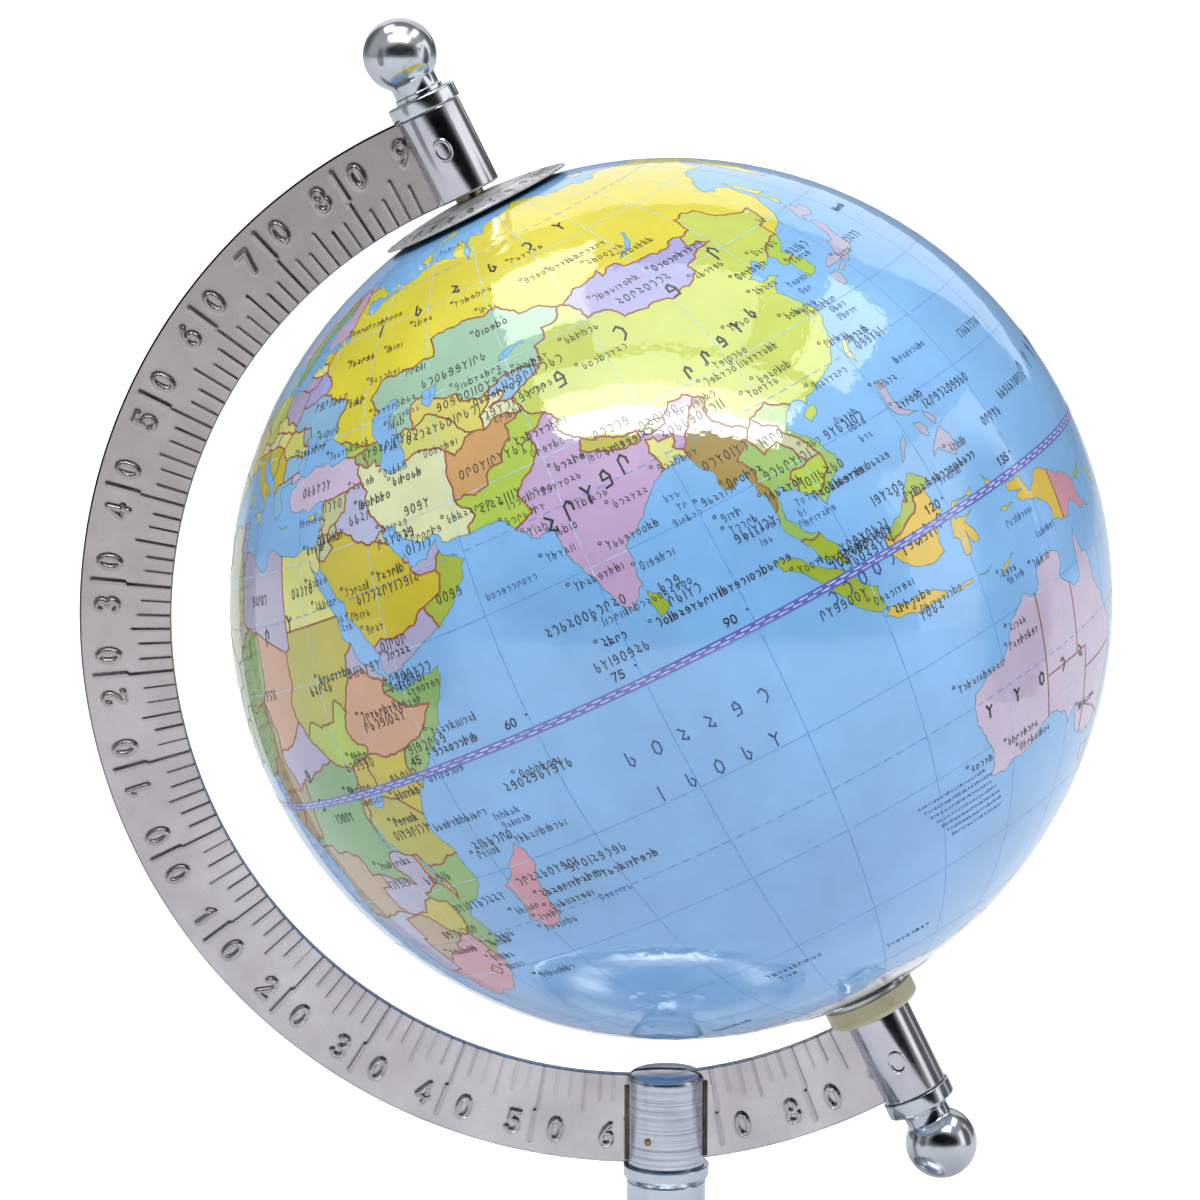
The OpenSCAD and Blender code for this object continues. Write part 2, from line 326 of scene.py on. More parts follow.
def painted(name, rgb, rough, scale=400.0):
    """A dull, evenly mottled plastic or paint."""
    m = Material(name)
    m.feed("Base Color", m.ramp(m.noise(scale, 5), (0.3, scaled(rgb, 0.88)), (0.7, scaled(rgb, 1.08))))
    m.feed("Roughness", m.ramp(m.noise(scale * 2, 4), (0.3, rough * 0.8), (0.7, rough * 1.3)))
    m.bump(m.noise(2500, 3), 0.2, 0.02)
    return m.data

# ---- the map: coasts and borders as longitude,latitude outlines ----

# Closed coasts. Longitudes run from -170 to 190, so that no land is cut by the map's edge.
COASTS = """
africa_and_eurasia: 32.3,31.3 31,31.6 29.9,31.2 27.5,31.2 25.2,31.6 23.2,32.2 21.6,32.9 20.1,32.2 20,30.9
 18.5,30.3 15.4,31.6 15.2,32.4 13.2,32.9 11.5,33.2 10.2,34.2 10.9,35.2 10.4,36.2 11,37 9.8,37.3 7,37 3,36.8
 0,35.9 -2,35.1 -5.3,35.9 -5.9,35.8 -6.8,34.1 -9.3,32.5 -9.7,30.5 -11.5,28.3 -13.2,27.7 -14.8,25.6 -17,21
 -16.1,19 -16.5,16 -17.5,14.7 -16.7,12.4 -15,10.8 -13.3,9 -12.9,7.8 -11.3,6.7 -9,5 -7.5,4.4 -4,5.3 -2,4.8
 1.2,6.1 4.3,6.3 6,4.3 8.5,4.6 9.5,3.9 9.7,2.2 9.3,0.5 8.8,-0.7 10,-2.8 11.8,-4.7 12.3,-6.1 13.3,-8.5
 13.8,-10.7 12.5,-13.5 11.8,-16.5 12.5,-18.5 14.5,-22.5 15.2,-26.7 16.5,-28.6 18.2,-31.7 18.4,-34.1 20,-34.8
 22.5,-34 25.7,-34 28,-32.9 30.6,-30.8 32.4,-28.5 32.9,-26 35.5,-24.1 35.4,-22 34.8,-19.9 37,-17.8 40.2,-16
 40.7,-14 40.5,-10.8 39.5,-8.5 38.9,-6.2 39.3,-4.7 40.3,-2.6 42,-0.9 44.1,1.1 46.2,2.9 48.2,5.2 49.8,8
 51.1,10.6 51.2,11.8 48.5,11.3 46,10.7 44.3,10.4 43.2,11.5 42.8,12.8 41,14.7 39.5,15.6 38.6,18.1 37.3,19.2
 37.2,21.2 36.9,22.1 35.6,23.9 34,26.4 33.5,27.9 32.5,29.9 33.2,28.5 34.2,27.8 34.9,29.5 34.9,28.1 35.5,27.6
 36.6,26 37.2,24.9 38.5,23.6 39.1,21.6 40.2,20.1 41.3,18.5 42.6,16.6 42.9,14.8 43.3,12.9 45,12.9 48,14
 50.5,15.1 52.2,15.7 55,17 57.2,18.9 58.8,20.4 59.8,22.5 58.6,23.6 57,24 56.4,25.3 56.4,26.3 55.6,25.7
 54.4,24.4 52,24.1 51.5,24.4 51.6,25.3 51.2,26.1 50.8,25.4 50.1,26.4 49.2,27.5 48.4,28.7 48,29.5 49,30.4
 50.2,30.1 50.9,28.8 52.6,27.5 54.5,26.6 56.3,27.1 57,26.7 57.4,25.7 59.5,25.4 61.6,25.2 64.5,25.3 66.5,25
 67.5,23.9 68.8,22.4 70.4,22.8 69,22.2 70.4,20.9 72.2,21.4 72.6,22.2 72.7,21 72.8,19 73.3,16.5 74.3,14.4
 75.3,11.9 76.3,9.5 77.5,8.1 78.2,8.9 79.3,10.3 79.9,10.4 79.8,11.9 80.3,13.4 80.1,15.4 82.3,16.6 84,18.2
 85.5,19.7 87,21 88.5,21.6 90.4,21.8 91,22.7 91.9,22.2 92.6,20.6 94.2,18.7 94.4,16.1 95.4,15.7 96.3,16.5
 97.3,16.9 97.7,15.5 98.5,13 98.6,10.5 98.3,8.2 99.6,6.6 100.4,5.2 101.3,2.9 103.5,1.3 104.2,1.4 103.4,4.1
 102.2,6.2 100.6,7.2 100.2,8.6 99.3,9.3 99.5,11 100,12.8 100.5,13.5 101,12.7 102.3,12.2 103.1,10.9
 104.3,10.5 104.8,8.7 106.7,10.4 109.2,11.7 109.3,13.5 108.2,16 106.6,17.8 105.7,19 107,20.9 108.3,21.6
 109.6,21.4 110.2,20.4 110.9,21.4 113.2,22.1 114.3,22.4 116.7,23.2 118.2,24.4 119.7,25.8 120.6,27.5
 121.9,29.3 121.9,30.8 120.9,32.6 119.3,34.9 120.3,36.1 122.4,37 121,37.7 119,37.3 117.7,38.6 119.3,39.3
 121.2,40.9 121.9,40.4 121.2,38.8 123.5,39.7 124.5,40.1 125.3,39.3 124.9,37.9 126.6,37.6 126.3,36.5
 126.4,34.5 128,34.7 129.3,35.4 129.4,37 128.2,38.6 127.5,39.7 129.7,41 130.7,42.3 132.2,43.1 135.3,44
 138.5,46.9 140.3,48.8 140.5,51 141.4,53.2 139.8,54.1 137,53.8 135.2,54.7 138,57 143,59.3 149,59.6
 152.5,59.1 155,59.3 157,61.6 160,61.8 163.7,62.5 160,60.6 157,58 155.7,55 155.6,53 156.7,50.9 158.6,52.9
 160,54.5 162.2,54.9 163.3,56.2 162.9,57.9 164.3,59.8 166.3,60.2 170.5,60 174.5,61.7 178.5,62.6 179.3,64.8
 183,65 187,64.4 189.8,66.1 187.5,67.1 184,67.1 180,69 176,69.7 170.5,69.1 161,69.4 152,70.9 144,72.3
 140.5,72.5 139,71.6 133,71.4 129.5,71.2 128,72.8 123.5,73.1 119,73 113.5,73.5 113.5,75.3 107,76.7 104,77.7
 99,76.4 93,75.9 87,75.1 80.6,73.5 80.5,72 78,72.3 74.5,72.9 73,71 74,68.5 73,66.5 71.5,68.5 72.5,71
 69.5,72.9 67,70.5 67.2,69 68.5,68.3 64.5,69.3 60.5,69.8 54,68.9 53.5,68.2 48,67.6 46.3,66.8 44.2,66.5
 45.5,68.3 43.5,68.6 43,66.4 40,65.5 39.8,64.6 37.5,63.9 34.8,64.5 32.8,67 35,66.7 40.5,66.3 41,67.8 36,69.1
 33,69.4 30.9,69.8 28,71.1 25.6,71 21.5,70.2 18,69.6 15,68.3 13,66.5 11.5,64.8 8.5,63.4 5.2,62 5,60.5
 5.6,58.9 7.2,58 9.5,59 10.7,59.3 11.3,58.9 12.9,56.3 12.8,55.5 14.2,55.4 16.4,56.5 16.7,58.6 18.8,60
 17.3,61 17.6,62.3 20.7,63.8 22,65.5 24.5,65.8 25.4,65 21.4,63 21.3,61 22.8,59.9 25,60.2 28,60.5 30.1,59.9
 28,59.5 24.5,59.4 23.5,58.8 24.4,58.3 24.3,57.2 22.5,57.6 21.1,56.6 21,55.3 19.5,54.4 16.5,54.5 14.3,53.9
 12.3,54.3 10.9,54 9.9,54.9 10.7,56.5 10.5,57.7 8.2,57 8.2,55.4 8.9,54 7,53.6 4.8,53 3.6,51.5 1.6,50.9
 0.2,49.6 -1.5,48.6 -4.7,48.5 -2.3,47.2 -1.2,45.5 -1.6,43.4 -4,43.4 -8.2,43.6 -9.2,43 -8.8,41 -9.4,38.7
 -8.9,37 -6.4,36.9 -5.6,36 -2,36.7 -0.4,38.5 -0.2,39.8 3.2,41.9 3.1,43.1 5,43.4 8.8,44.4 10.3,43.5 12.3,41.7
 15.7,40 16.1,38 17.1,39 16.6,39.8 17,40.5 18.3,39.9 18.3,40.4 15.9,41.9 14.2,42.5 12.5,44.1 12.4,45.3
 13.7,45.6 13.9,44.9 15.3,44.2 17.6,42.9 19.4,41.8 19.4,40.4 21.2,38.2 21.3,37.2 22.5,36.5 24,37.8 22.8,39.3
 22.7,40.4 24.4,40.8 26.8,40.7 29,41.1 26.6,39.9 26.3,38.3 27.3,37 28.2,36.7 30.6,36.8 32.5,36.1 34.5,36.8
 36.1,36.8 35.8,35.6 35.5,33.9 34.9,32.5 34.2,31.3
madagascar: 49.3,-12.1 50.4,-15.6 48.8,-19.8 47.1,-24.9 45.2,-25.5 43.6,-23.3 44.4,-20.1 44,-17.2 46.3,-15.7
 47.9,-13.7
sri_lanka: 80,9.7 81.3,8.5 81.8,7 81,6.2 80.2,6 79.8,7.8
sumatra: 95.3,5.6 97.5,5.2 100.3,2.6 103,0.6 103.7,-1 105.9,-2.9 105.8,-5.8 104.5,-5.8 102.3,-4 100.4,-1
 98.7,1.7 95.9,4
java: 105.2,-6.7 106.2,-5.9 108.6,-6.7 110.9,-6.4 112.7,-6.9 114.5,-7.8 114.5,-8.7 111,-8.3 108,-7.8
flores: 120,-8.4 122.9,-8.2 121.5,-8.9
sumbawa: 116,-8.4 119,-8.3 118.9,-8.8 116.2,-8.9
timor: 123.6,-10.3 125,-9.2 127.2,-8.4 125.8,-9.5
borneo: 109.6,2 111.3,2.5 113,3.2 114.9,4.9 116.8,7 119.2,5.2 117.9,4.1 117.9,2.2 119,1 117.5,0 116.5,-3.6
 114.6,-4.1 111.8,-3.3 110,-1.4 109.1,-0.2
sulawesi: 119.5,-5.5 119.6,-3.5 118.8,-2.7 119.8,0 121,1.2 123,0.9 124.8,1.6 124.3,0.4 120.6,0.4 120.2,-0.9
 123.2,-0.9 121.4,-1.9 122.4,-3.4 122.5,-4.6 121.5,-4.6 120.9,-2.8 120.4,-5.5
halmahera: 127.6,2 128.6,0.6 127.9,-0.7 127.5,0.6
seram: 128,-3.1 130.7,-3.2 129,-3.6
new_guinea: 131,-0.8 134.1,-0.8 135,-3.3 137.8,-1.5 141,-2.6 144.5,-3.9 147.8,-6.2 147.7,-8 150.8,-10.3
 147,-9.5 144.7,-7.6 142.5,-9.2 141,-9.1 138,-8.3 138.5,-6.9 135.5,-4.5 133,-4 132,-2.8 133.8,-2.5
 130.9,-1.4
new_britain: 148.5,-5.8 152.3,-4.3 151.5,-5.6 149.5,-6.3
solomons: 155,-5.6 157.5,-7.4 161,-9.3 160,-9.6 156.5,-8
luzon: 120.6,18.5 122.2,18.4 121.6,16 121.6,14.3 124,12.7 120.6,13.9 120.3,16.1
mindanao: 122,7 123.5,8.6 125.5,9.8 126.4,8.2 126.2,6.4 125.4,5.7 123.5,7.6
samar: 124.4,12.5 125.7,11.1 125.2,10.2 124.5,11.4
panay: 122,11.8 123.1,11.5 123.3,9.4 122.5,9.9
palawan: 117.2,8.4 119.5,11.3 119.2,10.2
taiwan: 121.5,25.3 121.9,24.9 120.8,21.9 120.1,23.1
hainan: 108.7,19.3 109.6,20 111,20 110.5,18.8 109.2,18.3
kyushu: 130,33.5 131.7,33.6 131.9,32.6 131.2,31.3 130.2,31.3 129.7,33
shikoku: 132.4,33.4 134.6,34.2 134.2,33.3 132.9,32.8
honshu: 130.9,34.3 132.6,35.4 135.8,35.7 137.1,37.5 138.6,37.4 139.8,39 140.4,41.2 141.4,41.3 142,39.6
 141,38 140.8,35.7 139.8,35 138.2,34.6 135.8,33.5 135.1,34.5 133,34.3
hokkaido: 140.1,41.5 140.3,43.3 141.6,45.4 143.5,44.2 145.3,44.3 145.3,43.3 143.2,42 141,42.5
sakhalin: 142,46 143.5,46.8 142.8,49.3 144.7,49 143.3,52 142.7,54.3 142,53.3
australia: 142.5,-10.7 143.6,-14.3 145.3,-15 146.3,-18.9 149.2,-21.2 150.8,-23.5 153.1,-25.8 153.6,-28.6
 152.5,-32.4 149.9,-37.5 146.4,-39.1 144.5,-38.1 143.5,-38.8 140.5,-38 138.2,-35.6 137.8,-32.6 135.6,-34.8
 134.2,-32.8 131.2,-31.5 126,-32.3 123.6,-33.9 120,-33.9 118,-35 115.1,-34.3 115.8,-31.8 113.5,-26
 113.5,-23.5 114.1,-21.9 116.8,-20.6 119.5,-20 121.8,-18.4 122.3,-17.2 125,-15 126.8,-13.9 128.2,-14.9
 129.6,-14.9 130.6,-12.5 132.6,-11.4 136.8,-12.2 135.6,-15 139.3,-17.5 140.9,-17.4 141.6,-14.5 141.7,-12.5
tasmania: 144.7,-40.8 148.3,-40.9 147.9,-43.2 146,-43.5 145.2,-42.2
north_island: 172.7,-34.5 174.8,-36.8 178.5,-37.7 177,-39.6 175.3,-41.6 173.8,-39.3
south_island: 172.7,-40.6 174.2,-41.7 172.7,-43.7 170.6,-45.9 168.4,-46.6 166.5,-45.9 168.5,-44 171.3,-42.3
britain: -5.6,50.1 1.3,51.1 1.7,52.6 0.2,53 -1.6,55.5 -2,57.5 -4,57.6 -3.1,58.6 -5,58.5 -5.8,56.8 -3,54.8
 -3,53.5 -4.2,52.3 -5.2,51.8 -3,51.4
ireland: -6,52.2 -6,54.9 -7.4,55.3 -10,54.2 -9.5,51.6
iceland: -22.5,64 -18.5,63.4 -13.7,64.9 -16,66.4 -22.5,66.4
svalbard: 11,79.3 14,77 17,76.6 21,78.5 25,80 18,80
novaya_zemlya: 51.5,71.5 57.5,70.7 55.7,72.8 58,74.5 68.5,76.7 66,77 58,75.9 53.5,72.5
franz_josef: 48,80.2 60,80.2 62,81.2 50,81
severnaya_zemlya: 96,79 100,78.1 105,78.5 100,80.6 94,81
new_siberia: 138,75.8 145,75.3 150,75 140,73.6
wrangel: 179,71.3 182,71.3 181,70.9
sicily: 12.5,38 15.6,38.2 15.1,36.7
sardinia: 8.3,39 9.6,39.2 9.5,41.2 8.2,40.9
corsica: 8.7,42.5 9.4,43 9.4,41.6
crete: 23.6,35.5 26.3,35.2 24.7,34.9
cyprus: 32.4,35 34.5,35.6 33.8,34.9
north_america: -168,65.7 -162,66.5 -166,68.4 -156.5,71.3 -141,69.7 -128,70 -115,68.3 -95,68 -94,72 -90,69
 -82,69.7 -87,64.5 -94.5,60.5 -92.5,57 -85,55.3 -82.3,53 -79,51.4 -79.5,54.6 -77,56.5 -78.5,58.8 -77.5,62.4
 -70,61 -65,59 -62,57 -56,53 -60,50.2 -66,50.1 -69,48.5 -64.5,49 -65,47 -61,45.8 -66,43.8 -67,44.8 -70.5,43
 -70,41.8 -74,40.6 -76,37 -76,35 -81,31.8 -80,26.5 -81.2,25.3 -82.8,28 -84,30 -89.5,30 -94,29.6 -97.4,27.8
 -97.8,22.5 -95.8,18.8 -91.5,18.6 -90.3,21 -87,21.4 -88.5,15.8 -83.3,15 -83.7,11 -81,9 -79.5,9.5 -77.4,8.7
 -75.5,10.7 -71.7,12.3 -71.5,11 -68,11.5 -62,10.7 -60,8.5 -52,4.8 -50,0.5 -44,-2.7 -35.2,-5.2 -35,-8.5
 -39,-13 -39,-18 -41,-22 -48,-26 -48.8,-28.5 -53.5,-33.8 -58,-34.5 -57,-36.5 -62,-39 -65,-41 -65.5,-45
 -69,-50.5 -65.2,-54.8 -71,-54.5 -74.5,-50.5 -74,-44 -73.5,-38 -71.5,-31 -70.2,-19 -76,-14 -81.2,-5.5
 -80.3,-2.8 -78.8,1.5 -77.3,4 -78,8 -80,7.5 -83,8.3 -85.7,10 -87.5,13 -93,15.5 -96,15.8 -102,18 -105.5,20.5
 -109,26 -112.5,30 -114.7,31.7 -109.5,23.2 -112,25 -115,29.8 -117.2,32.6 -120.6,34.6 -124.2,40.3 -124,46.5
 -123,49 -128,51 -130.5,55 -135,58.5 -140,59.8 -146,60.8 -152,59.5 -162,55 -158,58.6 -162,59 -165.5,61.5
 -161,64.4 -166,64.5
greenland: -73,78.2 -65,81 -45,82.8 -25,83 -12,81.6 -20,77 -20,73.5 -24,70.5 -32,68 -40,65 -43,60 -48,61
 -54,69 -55,71 -60,75.8
baffin: -62,66.5 -65,62.5 -72,64 -78,65 -73,67 -80,70 -90,73.5 -80,73.7 -70,70.5
victoria_island: -116,71 -105,69 -101,70 -108,73
ellesmere: -88,76.5 -78,76.3 -65,81.5 -70,83 -90,81
banks: -125,72 -120,71.3 -116,73 -122,74.5
newfoundland: -59.3,47.8 -53,46.8 -53,48.5 -55.7,51.5 -57.5,50
cuba: -85,22 -80,23.1 -74.3,20.2 -77.5,19.9
hispaniola: -74,20 -68.5,18.5 -71.5,17.8
"""

# Closed shores of inland water.
LAKES = """
black_sea: 29,41.3 27.6,42.5 28.6,43.9 29.6,45.2 31,46.6 33,46.1 32.5,45.4 33.5,44.6 35.3,45.1 35.2,46.2
 38.4,47 38,45.6 37,45 38.5,44.3 41.5,42 41.5,41.5 38,41 36,41.7 33.3,42 31.3,41.2
caspian: 49,46.3 51.5,46.9 53,46.7 53,45.3 50.9,44.5 51.5,43.2 52.7,42.7 52.5,41.6 53.7,40.9 52.8,40 53.8,39
 53.8,37 51.8,36.6 50,37.4 48.9,38.5 49.5,40.2 49.3,41 48.5,41.9 47.5,43 47.5,44.5 47.2,45.3
aral: 58.2,44.5 58.4,46 61.5,46.5 61,44.6 59.5,43.6
balkhash: 73.8,45.4 74.2,46 76,46.6 79,46.8 79,46.3 75.5,45.6
baikal: 103.8,51.6 107,52.4 108.5,53.4 109.8,55.7 109.2,55.8 107.6,53.8 105.4,52.4
ladoga: 30.9,60.2 32.6,60.4 32,61.4 30.4,61.2
victoria: 31.8,-0.5 33,0.3 34.1,0.2 34,-1.5 33,-2.3 31.8,-2.2
tanganyika: 29.2,-3.5 29.7,-5 31.1,-8.4 30.5,-8.4 29.4,-6
nyasa: 34,-9.6 34.8,-12 35.2,-14.2 34.6,-14 34.1,-11.5
superior: -92,46.8 -88,48.7 -84.7,46.6 -88,46.8
huron: -88,42 -85,45.8 -81,45.9 -82.5,43 -84,46 -87.5,45
great_bear: -124,66 -120,67 -118,65.3 -122,65
"""

